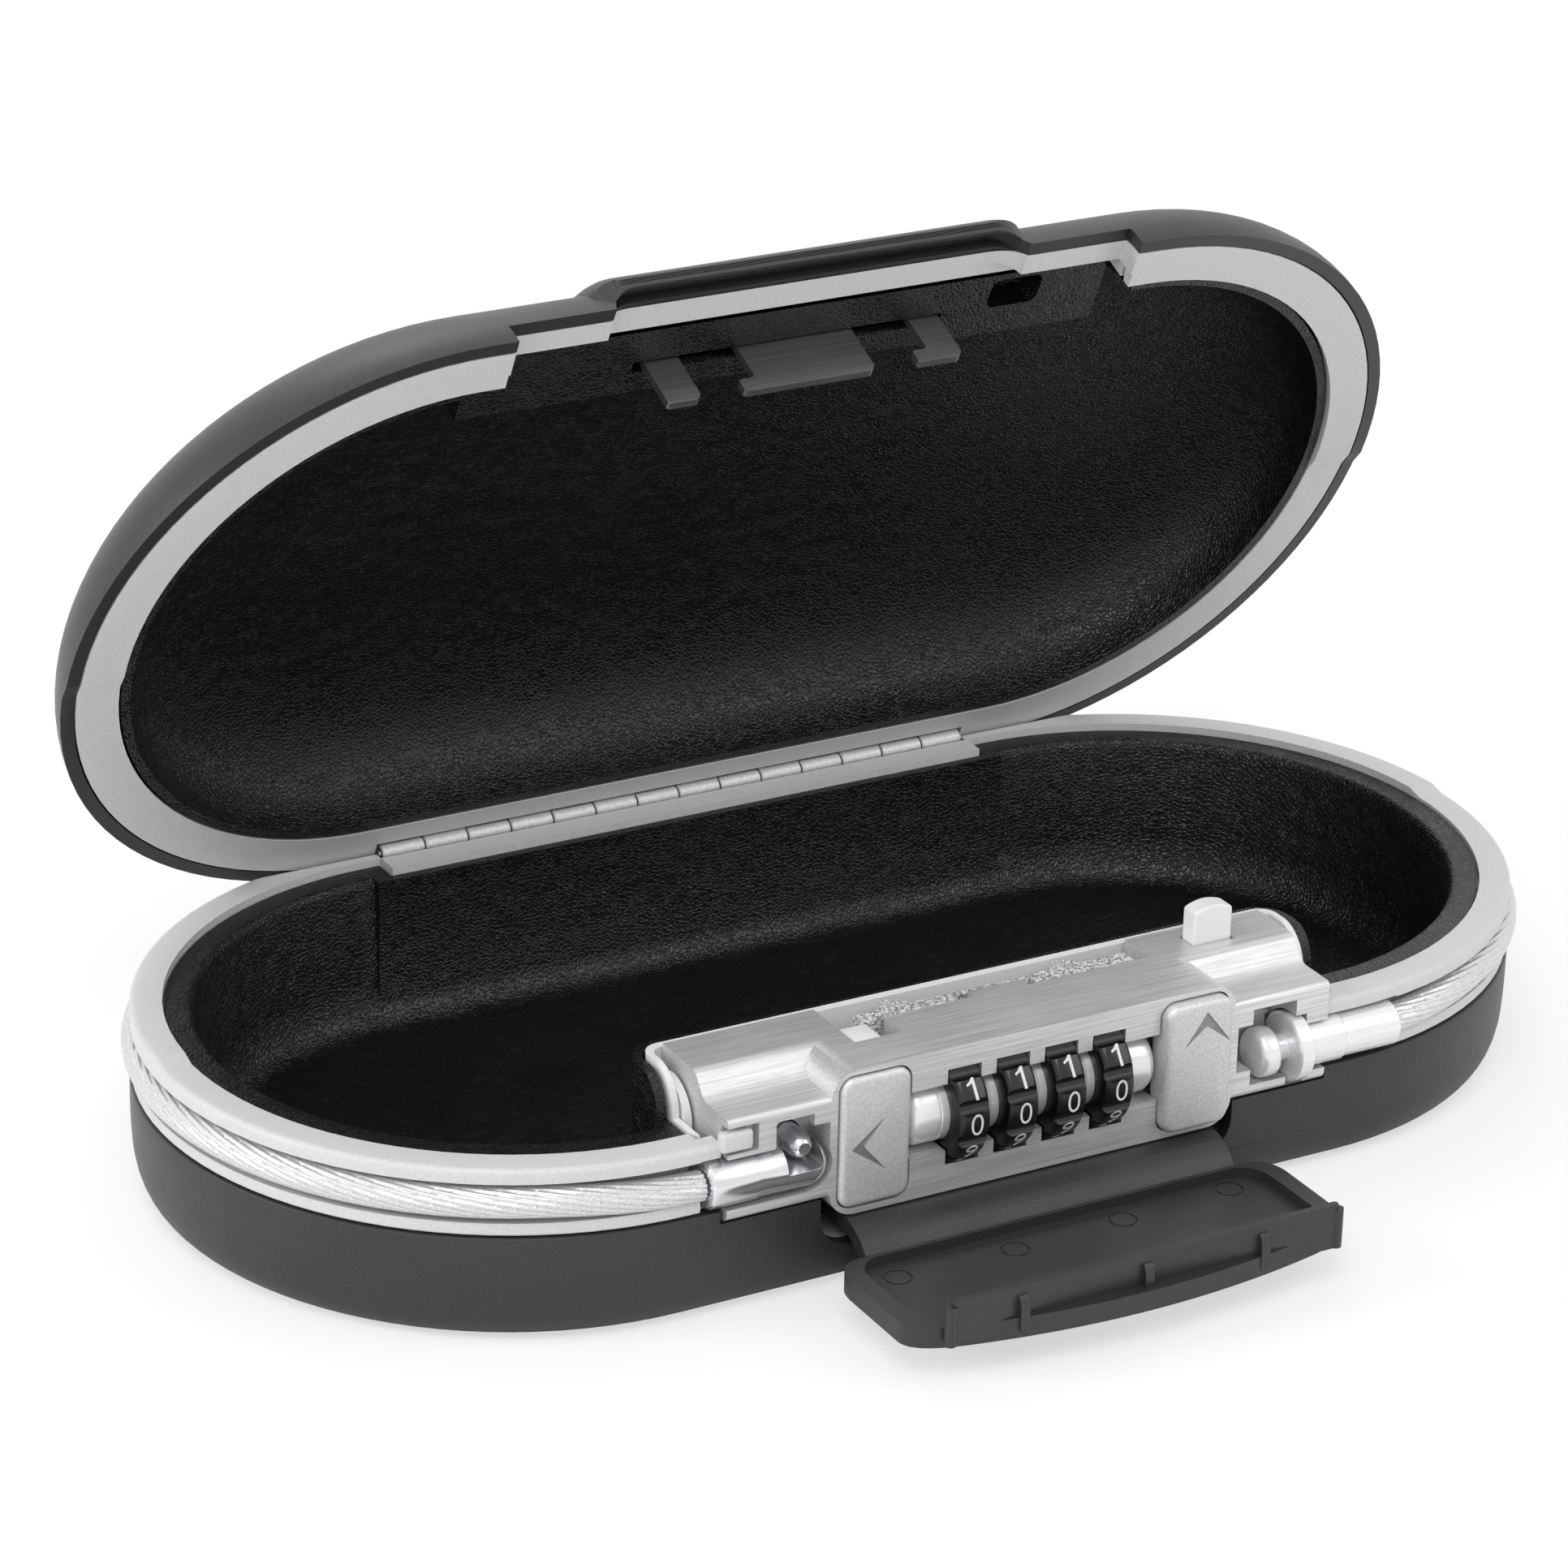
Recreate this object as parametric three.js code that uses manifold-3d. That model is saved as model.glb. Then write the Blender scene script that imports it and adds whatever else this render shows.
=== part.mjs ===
// Portable car safe, lid open and dial cover folded down. Millimetres, +Z up, the lock at -Y.
// The origin is the middle of the flat underside.
import * as THREE from 'three';
import { ConvexGeometry } from 'three/addons/geometries/ConvexGeometry.js';
import { mergeVertices } from 'three/addons/utils/BufferGeometryUtils.js';
import Module from 'manifold-3d';

const wasm = await Module();
wasm.setup();

// Body: a stadium outline, parted near mid height
const LENGTH = 240;
const WIDTH = 120;
const PARTING = 30; // top of the base ring's front half
const REAR_RISE = 0.8; // the ring's rear half stands this much higher
const RAMP = 3; // length of the slope between the two halves
const LID_RISE = 27.5; // top of the dome above the parting
const LID_OVERHANG = 0.7; // the lid's rim stands out past the outline
const LID_WALL = 2.2;
const CROWN_GAP = 0.1; // the wall is this much thicker at the crown
const DOME_POWER = 2.2; // the dome's section is a quarter superellipse
const BASE_WALL = 2.2;
const BASE_RIM = PARTING - 11.4; // height of the base shell's rim
const BASE_OVERHANG = 0.2;
const BASE_CORNER = 12.5; // run of the rounded bottom corner
const BASE_POWER = 4.75;
const LINER = 1.6; // liner thickness
const LID_OPEN = 64.5; // degrees
const FIT = 0.3; // clearance between pieces that touch, turn or slide
const LOOSE = 0.6; // clearance round the lock

// Cable and its groove, measured inwards from the outline
const CABLE_R = 2.5;
const CABLE_INSET = 1.1;
const CABLE_Z = PARTING - 6.8;
const GROOVE_R = 3.4;
const GROOVE_Z = CABLE_Z + 0.3;
const FERRULE_R = 4.0;

// Base ring section
const RING_BOTTOM = BASE_RIM + FIT;
const RING_TOP_IN = 5.2; // inner edge of the top face
const RING_IN = 7.5; // inner wall
const RABBET = 1.9; // drop to the ledge that carries the liner
const FLANGE = 1.2; // liner flange thickness
const EDGE = 0.8; // rounding of the ring's outer edge
const LINER_OPENING = 9.8; // inset of the opening's edge

// Lid ring and lid liner
const LID_RING_IN = 9;
const LID_RING_HIGH = 5.2;
const LID_LINER_RISE = 22;
const LID_LINER_POWER = 2.6;

// Hinge
const HINGE_Y = WIDTH / 2 - 3.3;
const HINGE_Z = PARTING + 0.7;
const HINGE_HALF = 56;
const KNUCKLES = 14;
const KNUCKLE_R = 1.5;
const HINGE_PIN_R = 0.7;
const LEAF = 0.8; // leaf thickness
const LEAF_OFFSET = 2.0; // from the axis to the near face of each leaf
const LEAF_DEPTH = 4.6;
const BAR_FRONT = HINGE_Y - 6.5; // front face of the bar before the knuckles
const RIVET_R = 1.0;
const RIVET_X = 36;

// Dials
const DIALS = 4;
const DIAL_PITCH = 8.7;
const DIAL_W = 5.9;
const DIAL_R = 9.2;
const DIAL_SIDES = 10;
const SLEEVE_R = 5.1;
const SLEEVE_W = 7.6;
const SPINDLE_R = 3.0;
const SPINDLE_HALF = (DIAL_PITCH * (DIALS - 1) + SLEEVE_W) / 2 + 5.25;
const POCKET_HALF = SPINDLE_HALF + FIT;
const POCKET_HIGH = 5.4;
const GATE = 2.0; // width of the notch in each sleeve

// Buttons
const BUTTON_W = 12.3;
const BUTTON_H = 22.0;
const BUTTON_T = 4.25;
const BUTTON_X = POCKET_HALF + FIT + BUTTON_W / 2;
const BUTTON_Z = PARTING - 4.4;
const BUTTON_CORNER = 2.3;
const CABLE_BUTTON_PROUD = 0.75;
const OPEN_BUTTON_PROUD = 2.0;
const BUTTON_TRAVEL = 2.6;
const STEM_R = 1.6;
const STEM_LENGTH = 9.4;
const SPRING_R = 2.7;
const SPRING_WIRE = 0.6;

// Lock housing: a core round the buttons and dials, with a wing at each end
const LOCK_FRONT = -WIDTH / 2 - 1;
const LOCK_BACK = LOCK_FRONT + 21.1;
const CORE_X = BUTTON_X + BUTTON_W / 2 + 1.5;
const CORE_BOTTOM = BUTTON_Z - BUTTON_H / 2 - 1.4;
const CORE_CORNER = 4.5;
const LOCK_TOP = BUTTON_Z + BUTTON_H / 2 + 1.2;
const WING_X = CORE_X + 17.8;
const WING_BOTTOM = CABLE_Z - 6.5;
const WING_LEDGE = LOCK_TOP - 3.8;
const LEDGE_BACK = LOCK_FRONT + 7.8;
const RAMP_BACK = LEDGE_BACK + 3;
const DIAL_Y = LOCK_FRONT + 4.8;
const DIAL_Z = BUTTON_Z + 0.4;

// Lid steps over the lock
const STEP_1_X = WING_X + 1.7;
const STEP_2_X = CORE_X + 1;
const STEP_2_GAP = 0.3;

// Hood of the lid over the lock's middle
const HOOD_FRONT = LOCK_FRONT + 0.5;
const HOOD_X = STEP_2_X + 1.4;
const HOOD_LIP = LOCK_TOP + STEP_2_GAP;
const HOOD_WALL = 1.3;
const HOOD_SHOULDER = 5; // radius of the hood's rounded ends

// Latch
const SLOT_FRONT = LOCK_BACK - 7.1;
const FILL_BACK = SLOT_FRONT + 1.9; // the housing fills the slot's middle up to here
const FILL_LEFT = -3.3;
const FILL_RIGHT = 6.6;
const SLOT_FLOOR = LOCK_TOP - 4.4;
const SLOT_DEEP = LOCK_TOP - 9;
const SLIDER_LEFT = -23.3;
const SLIDER_RIGHT = 26.7;
const SLIDER_FRONT = SLOT_FRONT + 0.2;
const SLIDER_BACK = SLOT_FRONT + 3.1;
const SLIDER_TOP = LOCK_TOP - FIT;
const SLIDER_TRAVEL = 2.0;
const TAB_T = 1.4;
const TAB_BACK = LOCK_BACK - 1;
const FOOT_BOTTOM = LOCK_TOP - 8.3;
const FOOT_TOP = FOOT_BOTTOM + 2.7;
const STRIKE_Z = LOCK_TOP + 4.5;
const STRIKE_T = 1.4;
const STRIKE_X = 30;
const STRIKE_FRONT = TAB_BACK - 7.5;
const STRIKE_SCREW_X = 16;
const STRIKE_SCREW_Y = TAB_BACK - 4;
const STRIKE_SCREW_R = 1.1;
const STRIKE_SCREW_HEAD_R = 2.4;
const STRIKE_SCREW_LENGTH = 3.6;

// Peg and reset lever
const PEG_X = CORE_X + 4.6;
const PEG_Y = SLOT_FRONT + 1.9;
const PEG_W = 7.1;
const PEG_D = 3.6;
const PEG_TOP = LOCK_TOP + 5.6;
const PEG_TRAVEL = 5.0;
const PEG_LENGTH = 15.2;
const PEG_SPRING_LENGTH = PEG_TRAVEL + 4.6; // travel and the closed coils
const LEVER_LEFT = SLIDER_LEFT - 4.3;
const LEVER_W = 4.8;
const LEVER_FRONT = LOCK_FRONT + 8.6;
const LEVER_BACK = SLIDER_FRONT - FIT;
const LEVER_H = 6.2;
const LEVER_TRAVEL = 3.0;

// Cable bolt and ends
const PLUG_END = -CORE_X;
const PLUG_R = 3.8;
const BOLT_X = PLUG_END - 4.1;
const BOLT_Z = CABLE_Z + 2.7;
const BOLT_R = 2.1;
const BOLT_LENGTH = 11.8;
const BOLT_TIP = LOCK_FRONT + 0.8;
const BOLT_TRAVEL = 5.2;
const FERRULE_LEFT = -WING_X - 3.2;
const FERRULE_SEAM = -WING_X + 5.1; // where the ferrule meets the plug
const FERRULE_RIGHT = WING_X + 13.7;
const FINGER_TOP = 2.4; // the ring's clip over the ferrule, above the parting
const ANCHOR_LEFT = CORE_X + 4.9;
const ANCHOR_HEAD_R = 4.05;
const DISC_R = 5.8;
const DISC_LEFT = ANCHOR_LEFT + 5.8;
const DISC_W = 2.8;

// Tray round the lock
const TRAY_X = WING_X + 3.1;
const TRAY_BACK = LOCK_BACK + 2;
const TRAY_FRONT = LOCK_FRONT + 4.4;
const TRAY_WALL = 1.5;
const TRAY_SIDE = 2.2;
const TRAY_FLOOR = BASE_WALL + 3.1;
const TRAY_TOP = LOCK_TOP - 0.8;
const POST_X = WING_X - 5.8;
const POST_Y = LOCK_FRONT + 13.4;
const PAD_X = CORE_X - 0.5;
const SCREW_R = 1.4;
const SCREW_HEAD_R = 2.8;
const SCREW_HEAD = 1.8;
const LOCK_SCREW_LENGTH = WING_BOTTOM - TRAY_FLOOR + 6;
const TRAY_SCREW_LENGTH = 3.8;

// Dial cover, folded down
const COVER_Z = CORE_BOTTOM - 7.2;
const COVER_T = 3.4;
const COVER_BACK = LOCK_FRONT - 6.7;
const COVER_TIP = COVER_BACK - 23.3;
const COVER_FAR = COVER_BACK - 28.8;
const COVER_X = CORE_X + 3;
const COVER_SKIN = 1.7;
const COVER_RIM = 3;
const RIB_Y = COVER_FAR + 3;
const RIB_X = COVER_X - 4.5;
const RIB_T = 1.2;
const RIB_H = 5.1;
const GUSSET_LENGTH = 1.5;
const GUSSET_T = 1.2;
const GUSSETS = [-22, 0, 21];
const STRAP_X = CORE_X - 3;
const RECESS_X = CORE_X + 0.9;
const RECESS_BOTTOM = CORE_BOTTOM - 5.5;
const RECESS_CORNER = 5.5;

// Conversions between three.js geometries and solids that can be joined and cut
function solid(geometry) {
  const plain = new THREE.BufferGeometry();
  plain.setAttribute('position', geometry.attributes.position.clone());
  if (geometry.index) plain.setIndex(geometry.index.clone());
  const merged = mergeVertices(plain, 1e-4);
  const index = [];
  for (let i = 0; i < merged.index.count; i += 3) {
    const [a, b, c] = [0, 1, 2].map((k) => merged.index.getX(i + k));
    if (a !== b && b !== c && c !== a) index.push(a, b, c);
  }
  const vertProperties = Float32Array.from(merged.attributes.position.array);
  return new wasm.Manifold(new wasm.Mesh({ numProp: 3, vertProperties, triVerts: Uint32Array.from(index) }));
}

function geometryOf(body) {
  const mesh = body.getMesh();
  const geometry = new THREE.BufferGeometry();
  geometry.setAttribute('position', new THREE.BufferAttribute(Float32Array.from(mesh.vertProperties), 3));
  geometry.setIndex(Array.from(mesh.triVerts));
  geometry.computeVertexNormals();
  return geometry;
}

// Elementary solids
function box(x0, x1, y0, y1, z0, z1) {
  const geometry = new THREE.BoxGeometry(x1 - x0, y1 - y0, z1 - z0);
  return solid(geometry.translate((x0 + x1) / 2, (y0 + y1) / 2, (z0 + z1) / 2));
}

function extruded(shape, depth, basis, curveSegments = 6) {
  const geometry = new THREE.ExtrudeGeometry(shape, { depth, bevelEnabled: false, curveSegments });
  return solid(geometry.applyMatrix4(basis));
}

// A shape drawn in Y and Z, run along X
function prismX(shape, x0, x1) {
  const basis = new THREE.Matrix4().set(0, 0, 1, x0, 1, 0, 0, 0, 0, 1, 0, 0, 0, 0, 0, 1);
  return extruded(shape, x1 - x0, basis);
}

// A shape drawn in X and Z, run along Y
function prismY(shape, y0, y1, curveSegments) {
  const basis = new THREE.Matrix4().set(1, 0, 0, 0, 0, 0, -1, y1, 0, 1, 0, 0, 0, 0, 0, 1);
  return extruded(shape, y1 - y0, basis, curveSegments);
}

// A shape drawn in X and Y, run along Z
function prismZ(shape, z0, z1, curveSegments) {
  return extruded(shape, z1 - z0, new THREE.Matrix4().makeTranslation(0, 0, z0), curveSegments);
}

function polygon(points) {
  return new THREE.Shape(points.map(([a, b]) => new THREE.Vector2(a, b)));
}

function roundedRectangle(a0, a1, b0, b1, r) {
  const shape = new THREE.Shape();
  shape.absarc(a1 - r, b0 + r, r, -Math.PI / 2, 0);
  shape.absarc(a1 - r, b1 - r, r, 0, Math.PI / 2);
  shape.absarc(a0 + r, b1 - r, r, Math.PI / 2, Math.PI);
  shape.absarc(a0 + r, b0 + r, r, Math.PI, Math.PI * 1.5);
  return shape;
}

function rodX(x0, x1, y, z, r, sides = 20) {
  const geometry = new THREE.CylinderGeometry(r, r, x1 - x0, sides);
  return solid(geometry.rotateZ(-Math.PI / 2).translate((x0 + x1) / 2, y, z));
}

function rodY(x, y0, y1, z, r, sides = 16) {
  return solid(new THREE.CylinderGeometry(r, r, y1 - y0, sides).translate(x, (y0 + y1) / 2, z));
}

function rodZ(x, y, z0, z1, r, sides = 14) {
  const geometry = new THREE.CylinderGeometry(r, r, z1 - z0, sides);
  return solid(geometry.rotateX(Math.PI / 2).translate(x, y, (z0 + z1) / 2));
}

// A profile of [position, radius] pairs turned about a line along X
function turnedX(profile, y, z, sides = 20) {
  const points = profile.map(([x, r]) => new THREE.Vector2(r, x));
  return solid(new THREE.LatheGeometry(points, sides).rotateZ(-Math.PI / 2).translate(0, y, z));
}

function joined(bodies) {
  return bodies.reduce((sum, body) => sum.add(body));
}

function cut(body, tools) {
  return tools.reduce((rest, tool) => rest.subtract(tool), body);
}

// Stadium sections
const STRAIGHT = (LENGTH - WIDTH) / 2; // half length of the straight sides
const ARC_STEPS = 16;

function outlinePoints(inset, z) {
  const r = WIDTH / 2 - inset;
  const points = [];
  for (const [side, start] of [[1, -0.5], [-1, 0.5]]) {
    for (let i = 0; i <= ARC_STEPS; i += 1) {
      const turn = Math.PI * (start + i / ARC_STEPS);
      points.push([side * STRAIGHT + r * Math.cos(turn), r * Math.sin(turn), z]);
    }
  }
  return points;
}

// Rows of [inset, height] joined into one closed skin. A ring closes on itself, a bowl ends in flat caps.
function loft(rows, isRing) {
  const count = 2 * (ARC_STEPS + 1);
  const positions = rows.flatMap(([inset, z]) => outlinePoints(inset, z)).flat();
  const index = [];
  const bands = isRing ? rows.length : rows.length - 1;
  for (let row = 0; row < bands; row += 1) {
    const next = (row + 1) % rows.length;
    for (let i = 0; i < count; i += 1) {
      const j = (i + 1) % count;
      const [a, b] = [row * count + i, row * count + j];
      const [c, d] = [next * count + j, next * count + i];
      index.push(a, b, c, a, c, d);
    }
  }
  if (!isRing) {
    const last = (rows.length - 1) * count;
    for (let i = 1; i < count - 1; i += 1) {
      index.push(0, i + 1, i);
      index.push(last, last + i, last + i + 1);
    }
  }
  const flipped = signedVolume(positions, index) < 0;
  if (flipped) index.reverse();
  const geometry = new THREE.BufferGeometry();
  geometry.setAttribute('position', new THREE.Float32BufferAttribute(positions, 3));
  geometry.setIndex(index);
  return solid(geometry);
}

function signedVolume(positions, index) {
  const at = (i) => new THREE.Vector3().fromArray(positions, index[i] * 3);
  let sum = 0;
  for (let i = 0; i < index.length; i += 3) sum += at(i).dot(at(i + 1).cross(at(i + 2)));
  return sum;
}

// Quarter superellipse from a rim at [inset, z]: run inwards, drop downwards, or up where it is negative
function superRows(inset, z, drop, run, power, lastInset, steps) {
  const lastCos = Math.max(0, 1 - (lastInset - inset) / run) ** (power / 2);
  const lastTurn = Math.acos(lastCos);
  const rows = [];
  for (let i = 0; i <= steps; i += 1) {
    const turn = (lastTurn * i) / steps;
    const across = i === steps ? lastInset - inset : run * (1 - Math.cos(turn) ** (2 / power));
    rows.push([inset + across, z - drop * Math.sin(turn) ** (2 / power)]);
  }
  return rows;
}

// Every visible piece
const portableCarSafe = new THREE.Group();
portableCarSafe.name = 'portable_car_safe';
const lid = new THREE.Group();
lid.name = 'lid';
lid.position.set(0, HINGE_Y, HINGE_Z);
lid.rotation.x = -THREE.MathUtils.degToRad(LID_OPEN);
portableCarSafe.add(lid);

const FINISH = {
  charcoal: { color: 0x3e4042, roughness: 0.5, metalness: 0.1 },
  grey: { color: 0xc6c8c9, roughness: 0.45, metalness: 0 },
  liner: { color: 0x121213, roughness: 0.55, metalness: 0 },
  brushed: { color: 0xc4c4c2, roughness: 0.35, metalness: 0.9 },
  satin: { color: 0xb2b2b0, roughness: 0.5, metalness: 0.8 },
  steel: { color: 0x8f9092, roughness: 0.3, metalness: 0.95 },
  plated: { color: 0xb9bcc0, roughness: 0.18, metalness: 1 },
  black: { color: 0x101011, roughness: 0.35, metalness: 0 },
  white: { color: 0xe9e9e7, roughness: 0.5, metalness: 0 },
  vinyl: { color: 0xc9cbcc, roughness: 0.25, metalness: 0.4 },
  rubber: { color: 0x353637, roughness: 0.65, metalness: 0 },
};

function place(name, body, finish, group = portableCarSafe) {
  const mesh = new THREE.Mesh(geometryOf(body), new THREE.MeshStandardMaterial(FINISH[finish]));
  mesh.name = name;
  if (group === lid) mesh.geometry.translate(0, -HINGE_Y, -HINGE_Z);
  group.add(mesh);
}

// The lock's footprint, shared by the pieces that are cut for it
const CHANNEL_Y = -(WIDTH / 2 - CABLE_INSET);
const CUT_X = TRAY_X + FIT;
const BEYOND = -(WIDTH / 2 + 20); // a height well in front of everything
const rearTop = PARTING + REAR_RISE;
const WALL_INSET = LID_WALL - LID_OVERHANG;
const DOME_INNER_RUN = WIDTH / 2 - WALL_INSET;
const DOME_INNER_RISE = LID_RISE - LID_WALL - CROWN_GAP;

// Space above the base's top faces: low in the front half, ramped up to the rear half
function aboveParting(gap, top) {
  const shape = polygon([
    [BEYOND, PARTING + gap], [0, PARTING + gap], [RAMP, rearTop + gap], [-BEYOND, rearTop + gap],
    [-BEYOND, top], [BEYOND, top],
  ]);
  return prismX(shape, -LENGTH, LENGTH);
}

function belowParting(gap, bottom) {
  const shape = polygon([
    [BEYOND, bottom], [-BEYOND, bottom], [-BEYOND, rearTop + gap], [RAMP, rearTop + gap],
    [0, PARTING + gap], [BEYOND, PARTING + gap],
  ]);
  return prismX(shape, -LENGTH, LENGTH);
}

// Base shell
function baseShell() {
  const outerEnd = BASE_CORNER - BASE_OVERHANG;
  const outer = superRows(-BASE_OVERHANG, BASE_RIM, BASE_RIM, BASE_CORNER, BASE_POWER, outerEnd, 7);
  const innerInset = BASE_WALL - BASE_OVERHANG;
  const innerRun = BASE_CORNER - 1.5;
  const innerDrop = BASE_RIM - BASE_WALL;
  const inner = superRows(innerInset, BASE_RIM, innerDrop, innerRun, BASE_POWER, innerInset + innerRun, 6);
  const shell = loft([...outer.reverse(), ...inner], false);
  const pads = [-1, 1].map((side) => rodZ(side * PAD_X, POST_Y, BASE_WALL / 2, TRAY_FLOOR, SCREW_HEAD_R + 1.2));
  const padHole = [BASE_WALL + 0.4, TRAY_FLOOR + 1, SCREW_R + 0.2];
  const padHoles = [-1, 1].map((side) => rodZ(side * PAD_X, POST_Y, ...padHole));
  const wingCut = box(-WING_X - LOOSE, WING_X + LOOSE, BEYOND, LEDGE_BACK, WING_BOTTOM - FIT, BASE_RIM + 5);
  const mouth = roundedRectangle(-RECESS_X, RECESS_X, RECESS_BOTTOM, BASE_RIM + 20, RECESS_CORNER);
  const coverCut = prismY(mouth, BEYOND, -(WIDTH / 2 - BASE_WALL - 1.5), 5);
  return cut(joined([shell, ...pads]), [...padHoles, wingCut, coverCut]);
}

// Ring on the base shell, with the cable groove
function baseRing() {
  const groove = [];
  for (const degrees of [104, 70, 35, 0, -35, -70, -104]) {
    const angle = THREE.MathUtils.degToRad(degrees);
    groove.push([CABLE_INSET - 0.4 + GROOVE_R * Math.cos(angle), GROOVE_Z + GROOVE_R * Math.sin(angle)]);
  }
  const spigotOut = BASE_WALL - BASE_OVERHANG + FIT;
  const section = [
    [EDGE, rearTop], [EDGE * 0.25, rearTop - EDGE * 0.4], [0, rearTop - EDGE - REAR_RISE], ...groove,
    [0, RING_BOTTOM + 1.1], [FIT, RING_BOTTOM], [spigotOut, RING_BOTTOM], [spigotOut, RING_BOTTOM - 2.8],
    [spigotOut + 2.2, RING_BOTTOM - 2.8], [spigotOut + 2.2, RING_BOTTOM], [RING_IN, RING_BOTTOM],
    [RING_IN, PARTING - RABBET], [RING_TOP_IN, PARTING - RABBET], [RING_TOP_IN, rearTop],
  ];
  const ring = loft(section, true);
  const barBack = HINGE_Y - KNUCKLE_R - 0.5;
  const barX = HINGE_HALF + 0.6;
  const bar = box(-barX, barX, BAR_FRONT, barBack, PARTING - 4.5, rearTop);
  const finger = box(
    -WING_X - LOOSE - 0.5, FERRULE_SEAM - 0.1, LOCK_FRONT - FIT, CHANNEL_Y - 0.2,
    PARTING - 1.4, PARTING + FINGER_TOP,
  );
  const leafRoom = box(
    -barX, barX, BAR_FRONT + 1.2, HINGE_Y,
    HINGE_Z - LEAF_OFFSET - LEAF - FIT, HINGE_Z - LEAF_OFFSET + FIT,
  );
  const knuckleRoom = rodX(-barX, barX, HINGE_Y, HINGE_Z, KNUCKLE_R + FIT);
  const riserRoom = box(-barX, barX, barBack, HINGE_Y, HINGE_Z - LEAF_OFFSET - LEAF, HINGE_Z + 2);
  const leafTop = HINGE_Z - LEAF_OFFSET;
  const rivetRooms = [-1, 1].map((side) => rivetSpace(side, leafTop - LEAF - 4.2, leafTop));
  const wingRoom = box(-WING_X - LOOSE, WING_X + LOOSE, BEYOND, TRAY_BACK, 0, rearTop + 1);
  const trayRoom = box(-CUT_X, CUT_X, TRAY_FRONT - FIT, TRAY_BACK + 2, 0, rearTop + 1);
  const plugRoom = rodX(FERRULE_LEFT - 0.8, -WING_X, CHANNEL_Y, CABLE_Z, FERRULE_R + 2 * FIT);
  const anchorRoom = rodX(WING_X, FERRULE_RIGHT + 0.8, CHANNEL_Y, CABLE_Z, FERRULE_R + 2 * FIT);
  const body = cut(joined([ring, bar]), [
    aboveParting(0, PARTING + 20), lidSweep(), leafRoom, knuckleRoom, riserRoom, ...rivetRooms,
    wingRoom, trayRoom, plugRoom, anchorRoom,
  ]);
  return body.add(finger.subtract(plugRoom));
}

// Space that the lid's rear rim sweeps as it opens
function lidSweep() {
  const r = WIDTH / 2 + LID_OVERHANG - HINGE_Y + 0.45;
  const reach = STRAIGHT + 24;
  return box(-reach, reach, HINGE_Y - FIT, WIDTH, HINGE_Z - r, HINGE_Z + r);
}

function rivetSpace(side, z0, z1, extra = FIT) {
  return rodZ(side * RIVET_X, HINGE_Y - KNUCKLE_R - 2.4, z0, z1, RIVET_R + extra, 12);
}

// Base liner: flange on the ring's ledge, walls, floor and the pocket round the lock's tray
function baseLiner() {
  const flangeTop = PARTING - RABBET + FIT + FLANGE;
  const flangeOut = RING_TOP_IN + FIT;
  const wallOut = RING_IN + FIT + 0.2;
  const floor = BASE_WALL + FIT;
  const skin = [
    [16, floor], [12.4, floor + 0.8], [10.4, floor + 3.2], [wallOut + 1, 12], [wallOut, flangeTop - FLANGE],
    [flangeOut, flangeTop - FLANGE], [flangeOut, flangeTop], [LINER_OPENING - 0.6, flangeTop],
  ];
  const hollow = [
    [17.6, floor + LINER], [14.2, floor + LINER + 0.7], [12.2, floor + LINER + 3], [LINER_OPENING + 1, 12],
    [LINER_OPENING + 0.3, flangeTop - 1.4], [LINER_OPENING, flangeTop - 0.6], [LINER_OPENING - 0.6, flangeTop],
    [LINER_OPENING - 0.6, flangeTop + 6],
  ];
  const outer = loft([...skin, [LINER_OPENING - 0.4, flangeTop]], false);
  const cavity = loft(hollow, false);
  const pocketX = CUT_X + FIT;
  const pocketBack = TRAY_BACK + FIT + 0.2;
  const lockRoom = prismZ(roundedRectangle(-pocketX, pocketX, BEYOND, pocketBack, 4), -5, PARTING + 5, 4);
  const pocketWall = prismZ(
    roundedRectangle(-pocketX - LINER, pocketX + LINER, BEYOND, pocketBack + LINER, 5.5), -5, PARTING + 12, 4,
  );
  const rearPanel = box(-STRAIGHT, STRAIGHT, BAR_FRONT - 1.9, BAR_FRONT + 0.6, floor + 1, flangeTop);
  const barRoom = box(-HINGE_HALF - 1, HINGE_HALF + 1, BAR_FRONT - FIT, WIDTH, PARTING - 4.8, PARTING + 4);
  const walls = outer.subtract(lockRoom).subtract(cavity.subtract(pocketWall));
  return walls.add(rearPanel).subtract(barRoom);
}

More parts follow.
